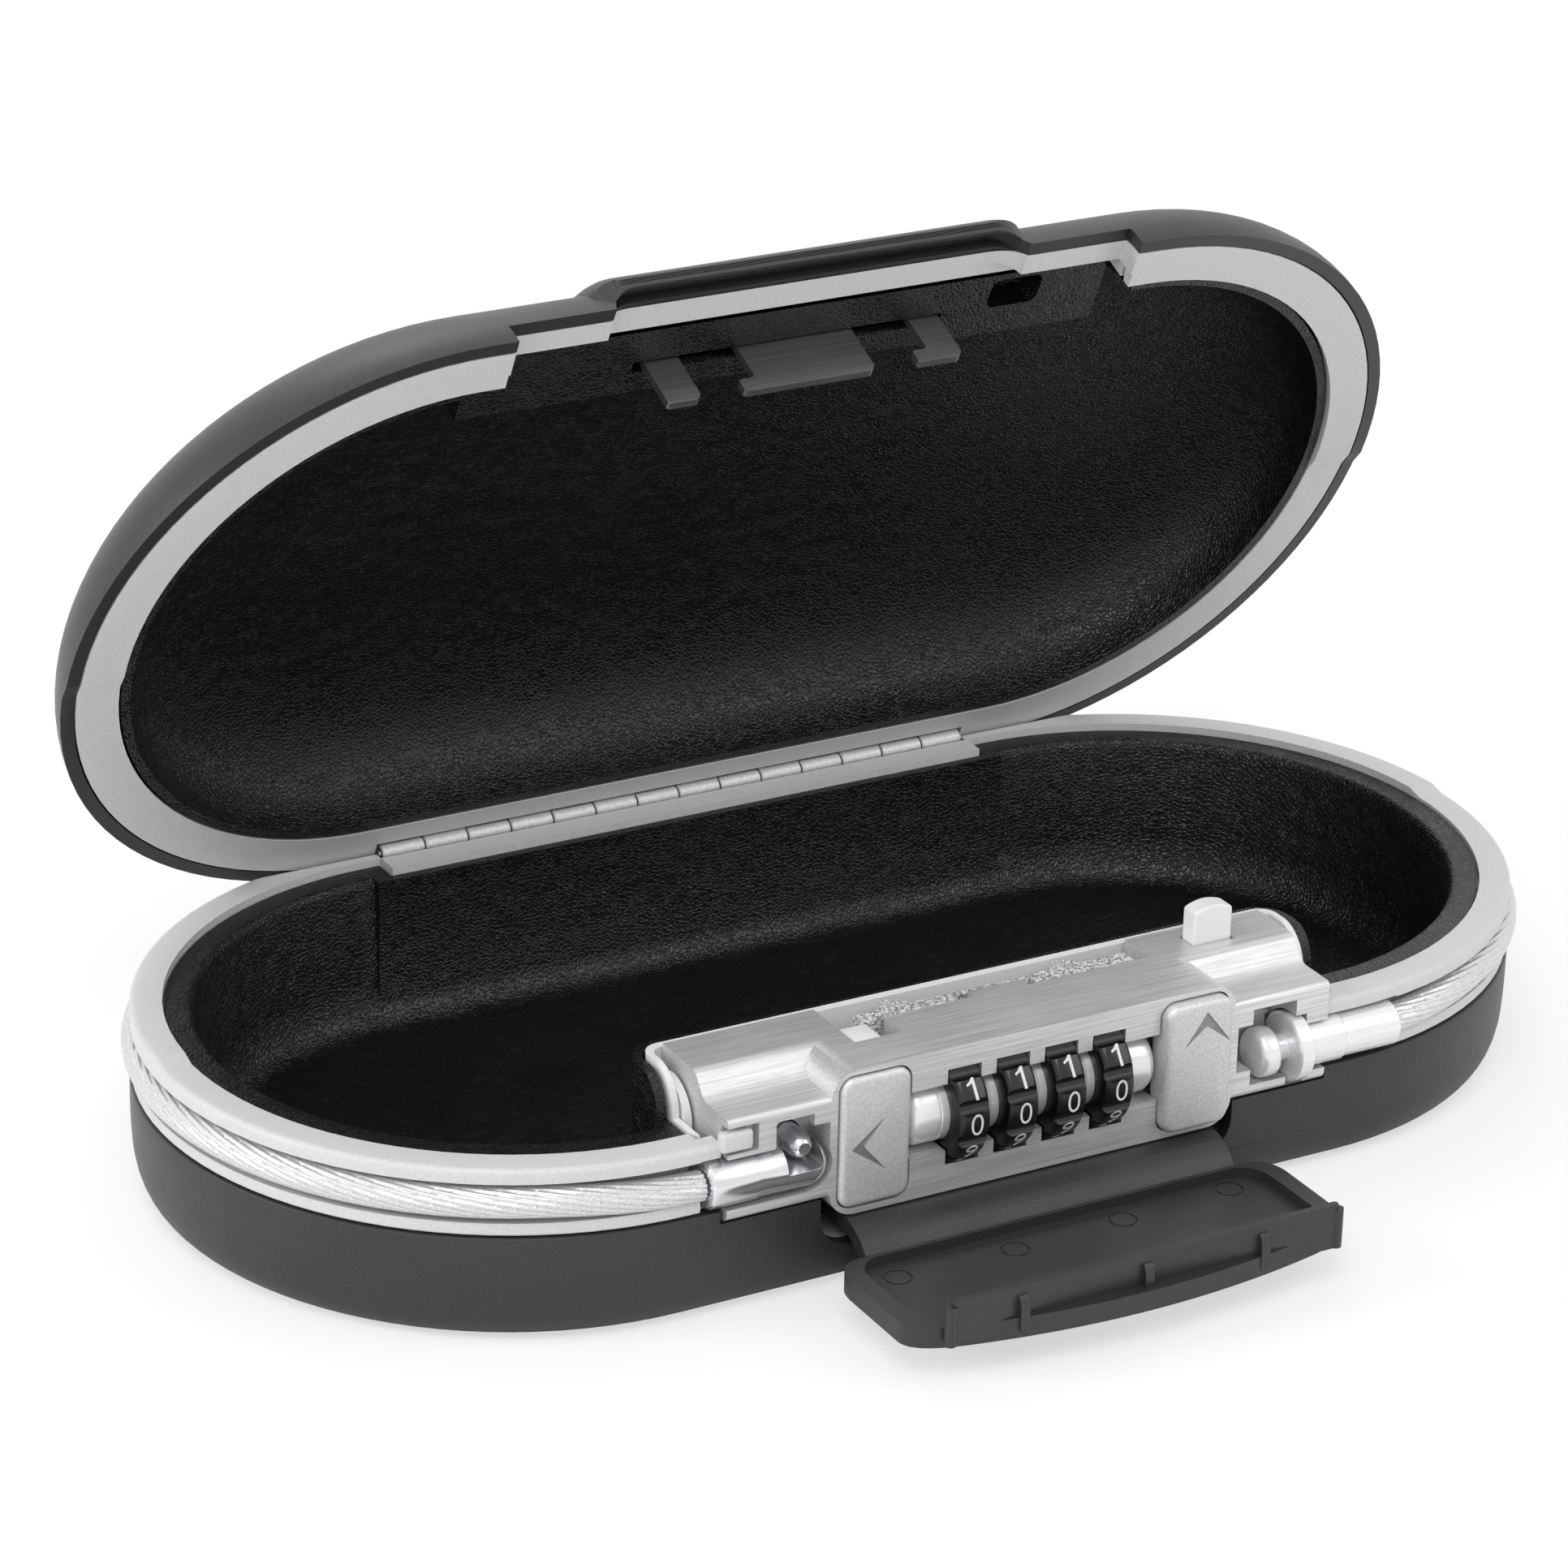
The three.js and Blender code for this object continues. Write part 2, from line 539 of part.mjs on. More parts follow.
// Lid shell with the hood over the lock
function lidShell() {
  const rim = PARTING;
  const outerRun = WIDTH / 2 + LID_OVERHANG;
  const outer = superRows(-LID_OVERHANG, rim, -LID_RISE, outerRun, DOME_POWER, WIDTH / 2, 9);
  const inner = superRows(WALL_INSET, rim, -DOME_INNER_RISE, DOME_INNER_RUN, DOME_POWER, WIDTH / 2, 8);
  const cavity = loft(inner, false);
  const dome = loft(outer, false).subtract(cavity);
  const crown = [
    [HOOD_FRONT, HOOD_LIP + 2], [HOOD_FRONT + 0.6, HOOD_LIP + 3], [HOOD_FRONT + 2.4, HOOD_LIP + 4.9],
    [HOOD_FRONT + 5.5, HOOD_LIP + 7.3], [HOOD_FRONT + 9, HOOD_LIP + 9.5], [HOOD_FRONT + 12.5, HOOD_LIP + 11.1],
    [HOOD_FRONT + 17, HOOD_LIP + 12.4], [HOOD_FRONT + 17, HOOD_LIP + 8],
  ];
  const hoodPoints = [-1, 1].flatMap((side) => [0, 22.5, 45, 67.5, 90].flatMap((degrees) => {
    const turn = THREE.MathUtils.degToRad(degrees);
    const x = side * (HOOD_X - HOOD_SHOULDER * (1 - Math.sin(turn)));
    const drop = HOOD_SHOULDER * (1 - Math.cos(turn));
    return [
      new THREE.Vector3(x, HOOD_FRONT + 10, rim + 4), new THREE.Vector3(x, HOOD_FRONT, rim + 4),
      ...crown.map(([y, z]) => new THREE.Vector3(x, y, z - drop)),
    ];
  }));
  const plan = polygon([
    [-HOOD_X + 2, HOOD_FRONT + 18], [-HOOD_X, HOOD_FRONT + 5], [-HOOD_X + 0.4, HOOD_FRONT + 2],
    [-HOOD_X + 2.2, HOOD_FRONT + 0.5], [-HOOD_X + 5, HOOD_FRONT], [HOOD_X - 5, HOOD_FRONT],
    [HOOD_X - 2.2, HOOD_FRONT + 0.5], [HOOD_X - 0.4, HOOD_FRONT + 2], [HOOD_X, HOOD_FRONT + 5],
    [HOOD_X - 2, HOOD_FRONT + 18],
  ]);
  const hood = solid(new ConvexGeometry(hoodPoints)).intersect(prismZ(plan, rim, rim + 30)).subtract(cavity);
  const hollowX = HOOD_X - HOOD_SHOULDER;
  const hollowY = HOOD_FRONT + HOOD_WALL;
  const hollow = box(-hollowX, hollowX, hollowY, hollowY + 1.9, HOOD_LIP - 1, HOOD_LIP + 2.3);
  const bosses = [-1, 1].map((side) => strikeRod(side, STRIKE_Z + STRIKE_T + FIT, rim + 18, 2.6));
  const bossHoles = [-1, 1].map((side) => strikeRod(side, STRIKE_Z, rim + 16.4, STRIKE_SCREW_R + FIT));
  const rooms = [belowParting(FIT, 0), ...lockSteps(), ...bossHoles];
  return cut(joined([dome, hood, ...bosses]), [...rooms, hollow]);
}

// The lid's edge steps up over the lock's wings and again, rounded like its shoulders, over its middle
function lockSteps() {
  const middle = roundedRectangle(-STEP_2_X, STEP_2_X, 0, LOCK_TOP + STEP_2_GAP, CORE_CORNER + 0.5);
  return [
    box(-STEP_1_X, STEP_1_X, BEYOND, LOCK_BACK + 10, 0, WING_LEDGE + FIT),
    prismY(middle, BEYOND, LOCK_BACK + 10, 5),
  ];
}

// Inset of the dome's inner wall at a height above the parting
function domeInset(height) {
  const across = (1 - (height / DOME_INNER_RISE) ** DOME_POWER) ** (1 / DOME_POWER);
  return WALL_INSET + DOME_INNER_RUN * (1 - across);
}

function lidRing() {
  const face = PARTING;
  const against = (height) => [domeInset(height) + FIT, face + height];
  const section = [
    against(0), [LID_RING_IN, face], [LID_RING_IN, face + 1.9], [LID_RING_IN - 2.6, face + 2.6],
    [LID_RING_IN - 2.6, face + LID_RING_HIGH], against(LID_RING_HIGH), against(3),
  ];
  const tallHigh = LOCK_TOP - PARTING + 2.4;
  const tall = [
    against(3), against(LID_RING_HIGH), against(tallHigh), [LID_RING_IN, face + tallHigh],
    [LID_RING_IN, face + 3],
  ];
  const front = loft(tall, true).intersect(box(-STEP_1_X - 1.4, STEP_1_X + 1.4, BEYOND, 0, 0, 60));
  const rampRoom = box(
    -STEP_1_X - FIT, STEP_1_X + FIT, LEDGE_BACK - 0.4, LOCK_BACK + 10, 0, LOCK_TOP + STEP_2_GAP,
  );
  const barX = HINGE_HALF + 0.6;
  const leafRoom = box(
    -barX, barX, BAR_FRONT, HINGE_Y, HINGE_Z + LEAF_OFFSET - FIT, HINGE_Z + LEAF_OFFSET + LEAF + FIT,
  );
  const knuckleRoom = rodX(-barX, barX, HINGE_Y, HINGE_Z, KNUCKLE_R + FIT);
  const riserRoom = box(
    -barX, barX, HINGE_Y - KNUCKLE_R - 0.5, HINGE_Y, HINGE_Z - 2, HINGE_Z + LEAF_OFFSET + LEAF + FIT,
  );
  const rivetRooms = [-1, 1].map((side) => rivetSpace(side, HINGE_Z + LEAF_OFFSET, HINGE_Z + 4.6));
  return cut(joined([loft(section, true), front]), [
    belowParting(FIT, 0), ...lockSteps(), rampRoom, leafRoom, knuckleRoom, riserRoom, ...rivetRooms,
  ]);
}

// Lid liner: a bowl with the shelf over the lock, slotted for the strike tabs and the peg
function lidLiner() {
  const rim = PARTING + 1.2;
  const wallOut = LID_RING_IN + FIT + 0.1;
  const middle = WIDTH / 2;
  const wallIn = wallOut + LINER;
  const outerRows = superRows(wallOut, rim, -LID_LINER_RISE, middle - wallOut, LID_LINER_POWER, middle, 9);
  const innerRise = LID_LINER_RISE - LINER;
  const innerRows = superRows(wallIn, rim - 0.01, -innerRise, middle - wallIn, LID_LINER_POWER, middle, 8);
  const outer = loft(outerRows, false);
  const cavity = loft(innerRows, false);
  const shelfX = STEP_1_X + 2;
  const shelfBack = TRAY_BACK + 1.7;
  const shelfZ = LOCK_TOP + 1.1;
  const block = box(-shelfX, shelfX, BEYOND, shelfBack, shelfZ, LOCK_TOP + 30).intersect(outer);
  const lockRoom = box(-shelfX, shelfX, BEYOND, shelfBack, 0, shelfZ);
  const hollow = box(-shelfX + LINER, shelfX - LINER, BEYOND, shelfBack - LINER, shelfZ + LINER, LOCK_TOP + 30);
  const slots = strikeTabs().map(([left, right]) => (
    box(left - 0.5, right + 0.5, TAB_BACK - TAB_T - 0.5, TAB_BACK + 0.5, FOOT_BOTTOM, STRIKE_Z + 8)
  ));
  const pegRoom = box(
    PEG_X - PEG_W / 2 - 1.2, PEG_X + PEG_W / 2 + 1.2, PEG_Y - PEG_D / 2 - 1.2, PEG_Y + PEG_D / 2 + 1.2,
    PEG_TOP - PEG_LENGTH, PEG_TOP + 7,
  );
  return cut(joined([outer.subtract(cavity), block]), [lockRoom, hollow, ...slots, pegRoom]);
}

// Strike plate: each tab is [foot left, foot right, neck left, neck right]
function strikeTabs() {
  return [[-27.5, -20.2, -27.5, -20.2], [-12.5, 11.4, -9.5, 11.4], [19.2, 27.5, 22, 27.5]];
}

function strikeRod(side, z0, z1, r) {
  return rodZ(side * STRIKE_SCREW_X, STRIKE_SCREW_Y, z0, z1, r, 12);
}

function strikePlate() {
  const plate = box(-STRIKE_X, STRIKE_X, STRIKE_FRONT, TAB_BACK, STRIKE_Z, STRIKE_Z + STRIKE_T);
  const holes = [-1, 1].map((side) => strikeRod(side, STRIKE_Z - 1, STRIKE_Z + 4, STRIKE_SCREW_R + FIT));
  const tabs = strikeTabs().flatMap(([footLeft, footRight, neckLeft, neckRight]) => [
    box(neckLeft, neckRight, TAB_BACK - TAB_T, TAB_BACK, FOOT_TOP - 0.5, STRIKE_Z + 0.5),
    box(footLeft, footRight, TAB_BACK - TAB_T, TAB_BACK, FOOT_BOTTOM, FOOT_TOP),
  ]);
  return cut(joined([plate, ...tabs]), holes);
}

function strikeScrew(side) {
  const head = strikeRod(side, STRIKE_Z - 1.4, STRIKE_Z, STRIKE_SCREW_HEAD_R);
  return head.add(strikeRod(side, STRIKE_Z - 0.5, STRIKE_Z + STRIKE_SCREW_LENGTH, STRIKE_SCREW_R));
}

// Hinge leaves: even knuckles belong to the base, odd ones to the lid
function hingeLeaf(first, side) {
  const pitch = (2 * HINGE_HALF) / KNUCKLES;
  const near = HINGE_Z + side * LEAF_OFFSET;
  const far = near + side * LEAF;
  const [z0, z1] = [Math.min(near, far), Math.max(near, far)];
  const plateBack = HINGE_Y - 0.7;
  const plate = box(-HINGE_HALF, HINGE_HALF, plateBack - LEAF_DEPTH + 0.4, plateBack, z0, z1);
  const parts = [plate];
  for (let i = first; i < KNUCKLES; i += 2) {
    const x0 = -HINGE_HALF + i * pitch + FIT / 2;
    const x1 = x0 + pitch - FIT;
    parts.push(rodX(x0, x1, HINGE_Y, HINGE_Z, KNUCKLE_R, 10));
    const riser = side > 0 ? [HINGE_Z + 0.4, z1] : [z0, HINGE_Z - 0.4];
    parts.push(box(x0, x1, plateBack - LEAF + 0.1, plateBack, ...riser));
  }
  const bore = rodX(-HINGE_HALF - 1, HINGE_HALF + 1, HINGE_Y, HINGE_Z, HINGE_PIN_R + 0.3, 8);
  const holes = [-1, 1].map((end) => rivetSpace(end, z0 - 1, z1 + 1, 0.2));
  return cut(joined(parts), [bore, ...holes]);
}

function hingeRivet(end, side) {
  const near = HINGE_Z + side * LEAF_OFFSET;
  const far = near + side * (LEAF + (side > 0 ? 0.9 : 3.8));
  return rivetSpace(end, Math.min(near, far), Math.max(near, far), 0);
}

// Button-shaped prism in the lock's face, grown by a clearance
function buttonShape(side, grow) {
  const x = side * BUTTON_X;
  return roundedRectangle(
    x - BUTTON_W / 2 - grow, x + BUTTON_W / 2 + grow,
    BUTTON_Z - BUTTON_H / 2 - grow, BUTTON_Z + BUTTON_H / 2 + grow, BUTTON_CORNER + grow,
  );
}

function dialX(number) {
  return (number - (DIALS + 1) / 2) * DIAL_PITCH;
}

const BUTTON_FLOOR = LOCK_FRONT - CABLE_BUTTON_PROUD + BUTTON_T + BUTTON_TRAVEL + 0.1;
const STEM_END = LOCK_FRONT - CABLE_BUTTON_PROUD + BUTTON_T + STEM_LENGTH;
const SPRING_END = STEM_END + BUTTON_TRAVEL + 0.1;

// Lock housing: a core between two wings, pocketed for everything it holds
function lockHousing() {
  const wings = prismX(polygon([
    [LOCK_FRONT, WING_BOTTOM], [LOCK_BACK, WING_BOTTOM], [LOCK_BACK, LOCK_TOP], [RAMP_BACK, LOCK_TOP],
    [RAMP_BACK - 0.9, LOCK_TOP - 0.35], [LEDGE_BACK + 0.5, WING_LEDGE + 0.8], [LEDGE_BACK, WING_LEDGE],
    [LOCK_FRONT, WING_LEDGE],
  ]), -WING_X, WING_X);
  const core = prismY(
    roundedRectangle(-CORE_X, CORE_X, CORE_BOTTOM, LOCK_TOP, CORE_CORNER), LOCK_FRONT, LOCK_BACK, 5,
  );
  return cut(joined([wings, core]), [
    ...buttonRooms(), ...dialRooms(), ...latchRooms(), ...plugRooms(), ...anchorRooms(), ...screwRooms(),
  ]);
}

function buttonRooms() {
  return [-1, 1].flatMap((side) => [
    prismY(buttonShape(side, FIT), BEYOND, BUTTON_FLOOR, 4),
    rodY(side * BUTTON_X, BUTTON_FLOOR - 1, SPRING_END, BUTTON_Z, SPRING_R + FIT),
  ]);
}

function dialRooms() {
  const rooms = [
    box(-POCKET_HALF, POCKET_HALF, BEYOND, DIAL_Y, DIAL_Z - POCKET_HIGH, DIAL_Z + POCKET_HIGH),
    rodX(-POCKET_HALF, POCKET_HALF, DIAL_Y, DIAL_Z, POCKET_HIGH, 24),
  ];
  for (let number = 1; number <= DIALS; number += 1) {
    const half = DIAL_W / 2 + FIT;
    rooms.push(rodX(dialX(number) - half, dialX(number) + half, DIAL_Y, DIAL_Z, DIAL_R + FIT, 24));
  }
  const combX = dialX(DIALS) + DIAL_W / 2 + LOOSE;
  const combY = DIAL_Y + DIAL_R;
  rooms.push(box(-combX, combX, combY, combY + 1.5, DIAL_Z - 8.5, DIAL_Z + 1.5));
  return rooms;
}

function latchRooms() {
  const slotRight = SLIDER_RIGHT + SLIDER_TRAVEL + FIT;
  const slotLeft = LEVER_LEFT - FIT;
  const fill = box(FILL_LEFT, FILL_RIGHT, SLOT_FRONT - 1, FILL_BACK, SLOT_FLOOR - 1, LOCK_TOP + 2);
  return [
    box(slotLeft, slotRight, SLOT_FRONT, LOCK_BACK + 1, SLOT_FLOOR, LOCK_TOP + 1).subtract(fill),
    box(slotLeft, slotRight, SLIDER_BACK + 0.1, LOCK_BACK + 1, SLOT_DEEP, LOCK_TOP + 1),
    box(
      LEVER_LEFT - FIT, LEVER_LEFT + LEVER_W + LEVER_TRAVEL + FIT, LEVER_FRONT - FIT, SLOT_FRONT + 0.5,
      LOCK_TOP - FIT - LEVER_H - FIT, LOCK_TOP + 1,
    ),
    box(
      PEG_X - PEG_W / 2 - FIT, PEG_X + PEG_W / 2 + FIT, PEG_Y - PEG_D / 2 - FIT, PEG_Y + PEG_D / 2 + FIT,
      PEG_TOP - PEG_LENGTH - PEG_SPRING_LENGTH - FIT, LOCK_TOP + 1,
    ),
  ];
}

function plugRooms() {
  const r = PLUG_R + 0.4;
  const dome = PLUG_END - PLUG_R;
  const mouthY = LOCK_FRONT - 1;
  const roomBack = LOCK_FRONT + 6.5;
  return [
    rodX(-WING_X - 1, dome, CHANNEL_Y, CABLE_Z, FERRULE_R + FIT),
    box(-WING_X - 1, dome, BEYOND, CHANNEL_Y, CABLE_Z - FERRULE_R - FIT, CABLE_Z + FERRULE_R + FIT),
    solid(new THREE.SphereGeometry(r, 20, 12).translate(dome, CHANNEL_Y, CABLE_Z)),
    rodY(dome, BEYOND, CHANNEL_Y, CABLE_Z, r),
    box(BOLT_X - 5.4, BOLT_X + 1.2, mouthY, roomBack, CABLE_Z, WING_LEDGE - 2),
    box(BOLT_X, BOLT_X + 4, mouthY, roomBack, CABLE_Z, WING_LEDGE - 4),
    rodY(BOLT_X, roomBack - 1, BOLT_TIP + BOLT_LENGTH + BOLT_TRAVEL + FIT, BOLT_Z, BOLT_R + FIT),
    box(-WING_X - 1, FERRULE_SEAM + 0.2, BEYOND, CHANNEL_Y + 0.1, PARTING - 1.8, PARTING + FINGER_TOP + FIT),
  ];
}

function anchorRooms() {
  const roomBack = LOCK_FRONT + 6.8;
  return [
    box(ANCHOR_LEFT - 1.4, DISC_LEFT + 1, BEYOND, roomBack, CABLE_Z - ANCHOR_HEAD_R - FIT, WING_LEDGE - 1.9),
    box(ANCHOR_LEFT - 4.1, ANCHOR_LEFT, BEYOND, roomBack, CABLE_Z - 1.6, WING_LEDGE - 4.5),
    rodX(DISC_LEFT - FIT, DISC_LEFT + DISC_W + FIT, CHANNEL_Y, CABLE_Z, DISC_R + FIT, 24),
    box(DISC_LEFT, DISC_LEFT + DISC_W + FIT, BEYOND, CHANNEL_Y, CABLE_Z - DISC_R - FIT, CABLE_Z + DISC_R + FIT),
    rodX(DISC_LEFT, WING_X + 1, CHANNEL_Y, CABLE_Z, FERRULE_R + FIT),
    box(DISC_LEFT, WING_X + 1, BEYOND, CHANNEL_Y, CABLE_Z - FERRULE_R - FIT, CABLE_Z + FERRULE_R + FIT),
  ];
}

function screwRooms() {
  return [-1, 1].map((side) => rodZ(side * POST_X, POST_Y, WING_BOTTOM - 1, WING_BOTTOM + 6.8, SCREW_R + FIT));
}

// Tray that carries the lock: floor, rear wall, sloping sides, posts, and the hook for the cover's strap
function lockTray() {
  const wallIn = TRAY_X - TRAY_SIDE;
  const hull = prismZ(roundedRectangle(-TRAY_X, TRAY_X, TRAY_FRONT, TRAY_BACK, 3), TRAY_FLOOR, TRAY_TOP, 4);
  const inside = roundedRectangle(-wallIn, wallIn, BEYOND, TRAY_BACK - TRAY_WALL, 1.5);
  const room = prismZ(inside, TRAY_FLOOR + TRAY_WALL, TRAY_TOP + 1, 4);
  const slopeTop = LOCK_BACK - 3;
  const slope = prismX(polygon([
    [BEYOND, PARTING - 0.2], [slopeTop - 6.4, PARTING - 0.2], [slopeTop, TRAY_TOP], [slopeTop, TRAY_TOP + 5],
    [BEYOND, TRAY_TOP + 5],
  ]), -LENGTH, LENGTH);
  const posts = [-1, 1].map((side) => rodZ(side * POST_X, POST_Y, TRAY_FLOOR, WING_BOTTOM, SCREW_HEAD_R + 0.9));
  const hookTop = CORE_BOTTOM - 3;
  const hook = box(-STRAP_X + 1, STRAP_X - 1, TRAY_FRONT + 0.4, TRAY_FRONT + 1.6, TRAY_FLOOR, hookTop);
  const postHoles = [-1, 1].map((side) => rodZ(side * POST_X, POST_Y, 0, WING_BOTTOM + 1, SCREW_R + 0.2));
  const padHoles = [-1, 1].map((side) => rodZ(side * PAD_X, POST_Y, 0, TRAY_FLOOR + 3, SCREW_R + 0.2));
  const ends = [-1, 1].map((side) => {
    const [x0, x1] = side < 0 ? [-TRAY_X - 1, -WING_X] : [WING_X, TRAY_X + 1];
    return rodX(x0, x1, CHANNEL_Y, CABLE_Z, FERRULE_R + FIT);
  });
  return cut(joined([cut(hull, [room, slope]), ...posts, hook]), [...postHoles, ...padHoles, ...ends]);
}

// A screw with its head at one end of a vertical shank: up is 1 where it points upwards
function screw(x, y, seat, length, up) {
  const head = up > 0 ? [seat - SCREW_HEAD, seat] : [seat, seat + SCREW_HEAD];
  const shank = up > 0 ? [seat - 0.5, seat + length] : [seat - length, seat + 0.5];
  return rodZ(x, y, ...head, SCREW_HEAD_R).add(rodZ(x, y, ...shank, SCREW_R, 12));
}

// Dials and what they turn on
function dial(number) {
  const half = DIAL_W / 2;
  const x = dialX(number);
  const profile = [
    [x - half, SLEEVE_R + FIT], [x - half, DIAL_R - 0.7], [x - half + 0.7, DIAL_R], [x + half - 0.7, DIAL_R],
    [x + half, DIAL_R - 0.7], [x + half, SLEEVE_R + FIT], [x - half, SLEEVE_R + FIT],
  ];
  return turnedX(profile, DIAL_Y, DIAL_Z, DIAL_SIDES * 2);
}

function dialSleeve(number) {
  const half = SLEEVE_W / 2;
  const x = dialX(number);
  const ring = turnedX([
    [x - half, SPINDLE_R + FIT], [x - half, SLEEVE_R], [x + half, SLEEVE_R], [x + half, SPINDLE_R + FIT],
    [x - half, SPINDLE_R + FIT],
  ], DIAL_Y, DIAL_Z, 20);
  const notchDepth = SLEEVE_R - 1.2;
  return ring.subtract(box(
    x - half - 1, x - half + 1.2, DIAL_Y + notchDepth, DIAL_Y + SLEEVE_R + 1,
    DIAL_Z - GATE / 2, DIAL_Z + GATE / 2,
  ));
}

function dialSpindle() {
  const inner = dialX(DIALS) + SLEEVE_W / 2 + FIT;
  const profile = [
    [-SPINDLE_HALF, 0], [-SPINDLE_HALF, SLEEVE_R - 1.4], [-SPINDLE_HALF + 1.4, SLEEVE_R], [-inner, SLEEVE_R],
    [-inner, SPINDLE_R], [inner, SPINDLE_R], [inner, SLEEVE_R], [SPINDLE_HALF - 1.4, SLEEVE_R],
    [SPINDLE_HALF, SLEEVE_R - 1.4], [SPINDLE_HALF, 0],
  ];
  return turnedX(profile, DIAL_Y, DIAL_Z, 24);
}

function detentSpring() {
  const halfX = dialX(DIALS) + DIAL_W / 2 + FIT;
  const back = DIAL_Y + DIAL_R + 1.2;
  const strip = box(-halfX, halfX, back - 0.5, back, DIAL_Z - 8.2, DIAL_Z + 1.2);
  const noses = [];
  for (let number = 1; number <= DIALS; number += 1) {
    const half = DIAL_W / 2 - 1;
    noses.push(rodX(dialX(number) - half, dialX(number) + half, back - 0.5, DIAL_Z - 0.4, 0.4, 10));
  }
  return joined([strip, ...noses]);
}

// Buttons, springs, slider, levers and the peg
function button(side, proud) {
  const front = LOCK_FRONT - proud;
  const back = front + BUTTON_T;
  const cap = prismY(buttonShape(side, 0), front, back, 4);
  return cap.add(rodY(side * BUTTON_X, back - 0.5, back + STEM_LENGTH, BUTTON_Z, STEM_R));
}

function buttonSpring(side, proud) {
  const start = LOCK_FRONT - proud + BUTTON_T;
  const tube = rodY(side * BUTTON_X, start, SPRING_END, BUTTON_Z, SPRING_R, 14);
  return tube.subtract(rodY(side * BUTTON_X, start - 1, SPRING_END + 1, BUTTON_Z, SPRING_R - SPRING_WIRE, 14));
}

function latchSlider() {
  const strip = box(SLIDER_LEFT, SLIDER_RIGHT, SLIDER_FRONT, SLIDER_BACK, SLOT_FLOOR, SLIDER_TOP);
  const fillRoom = box(
    FILL_LEFT - SLIDER_TRAVEL - FIT, FILL_RIGHT + 2.1, SLIDER_FRONT - 1, FILL_BACK + FIT,
    SLOT_FLOOR - 1, SLIDER_TOP + 1,
  );
  const bumps = [[-17.9, -13.1], [13.2, 18.6]].flatMap(([left, right]) => [
    box(left, right, SLIDER_BACK - 0.5, TAB_BACK - 0.1, SLOT_FLOOR + 0.2, SLIDER_TOP - 0.3),
    box(left, right, SLIDER_BACK + FIT, TAB_BACK - 0.1, FOOT_TOP + 0.4, SLOT_FLOOR + 0.3),
  ]);
  return joined([strip.subtract(fillRoom), ...bumps]);
}

function lidPeg() {
  const shape = roundedRectangle(
    PEG_X - PEG_W / 2, PEG_X + PEG_W / 2, PEG_TOP - PEG_LENGTH, PEG_TOP, 1.2,
  );
  return prismY(shape, PEG_Y - PEG_D / 2, PEG_Y + PEG_D / 2, 4);
}

function pegSpring() {
  const top = PEG_TOP - PEG_LENGTH;
  const r = PEG_D / 2 - 0.2;
  const tube = rodZ(PEG_X, PEG_Y, top - PEG_SPRING_LENGTH, top, r);
  return tube.subtract(rodZ(PEG_X, PEG_Y, top - PEG_SPRING_LENGTH - 1, top + 1, r - SPRING_WIRE));
}

function resetLever() {
  const top = LOCK_TOP - FIT;
  return box(LEVER_LEFT, LEVER_LEFT + LEVER_W, LEVER_FRONT, LEVER_BACK, top - LEVER_H, top);
}

function cableBolt() {
  const shank = rodY(BOLT_X, BOLT_TIP + BOLT_R * 0.7, BOLT_TIP + BOLT_LENGTH, BOLT_Z, BOLT_R, 16);
  const tip = new THREE.CylinderGeometry(BOLT_R, BOLT_R * 0.55, BOLT_R * 0.7, 16);
  return shank.add(solid(tip.translate(BOLT_X, BOLT_TIP + BOLT_R * 0.35, BOLT_Z)));
}

// Cable and its two ends
class CableRoute extends THREE.Curve {
  constructor(r, startX, endX) {
    super();
    this.r = r;
    this.arc = Math.PI * r;
    this.startX = startX;
    this.parts = [startX + STRAIGHT, this.arc, 2 * STRAIGHT, this.arc];
    this.lastTurn = Math.asin(Math.min(1, (endX - STRAIGHT) / r));
    this.parts[3] -= this.lastTurn * r;
    this.total = this.parts.reduce((sum, part) => sum + part, 0);
  }

  getPoint(t, target = new THREE.Vector3()) {
    let left = t * this.total;
    if (left <= this.parts[0]) return target.set(this.startX - left, -this.r, 0);
    left -= this.parts[0];
    if (left <= this.parts[1]) {
      const turn = left / this.r;
      return target.set(-STRAIGHT - this.r * Math.sin(turn), -this.r * Math.cos(turn), 0);
    }
    left -= this.parts[1];
    if (left <= this.parts[2]) return target.set(-STRAIGHT + left, this.r, 0);
    const turn = (left - this.parts[2]) / this.r;
    return target.set(STRAIGHT + this.r * Math.sin(turn), this.r * Math.cos(turn), 0);
  }
}

function cable() {
  const route = new CableRoute(WIDTH / 2 - CABLE_INSET, FERRULE_LEFT - FIT, FERRULE_RIGHT + 2 * FIT);
  const sides = 8;
  const shape = new THREE.Shape();
  for (let i = 0; i < sides; i += 1) {
    const angle = (2 * Math.PI * i) / sides;
    const [a, b] = [CABLE_R * Math.cos(angle), CABLE_R * Math.sin(angle)];
    if (i === 0) shape.moveTo(a, b);
    else shape.lineTo(a, b);
  }
  shape.closePath();
  const geometry = new THREE.ExtrudeGeometry(shape, { steps: 60, extrudePath: route, bevelEnabled: false });
  return solid(geometry.translate(0, 0, CABLE_Z));
}

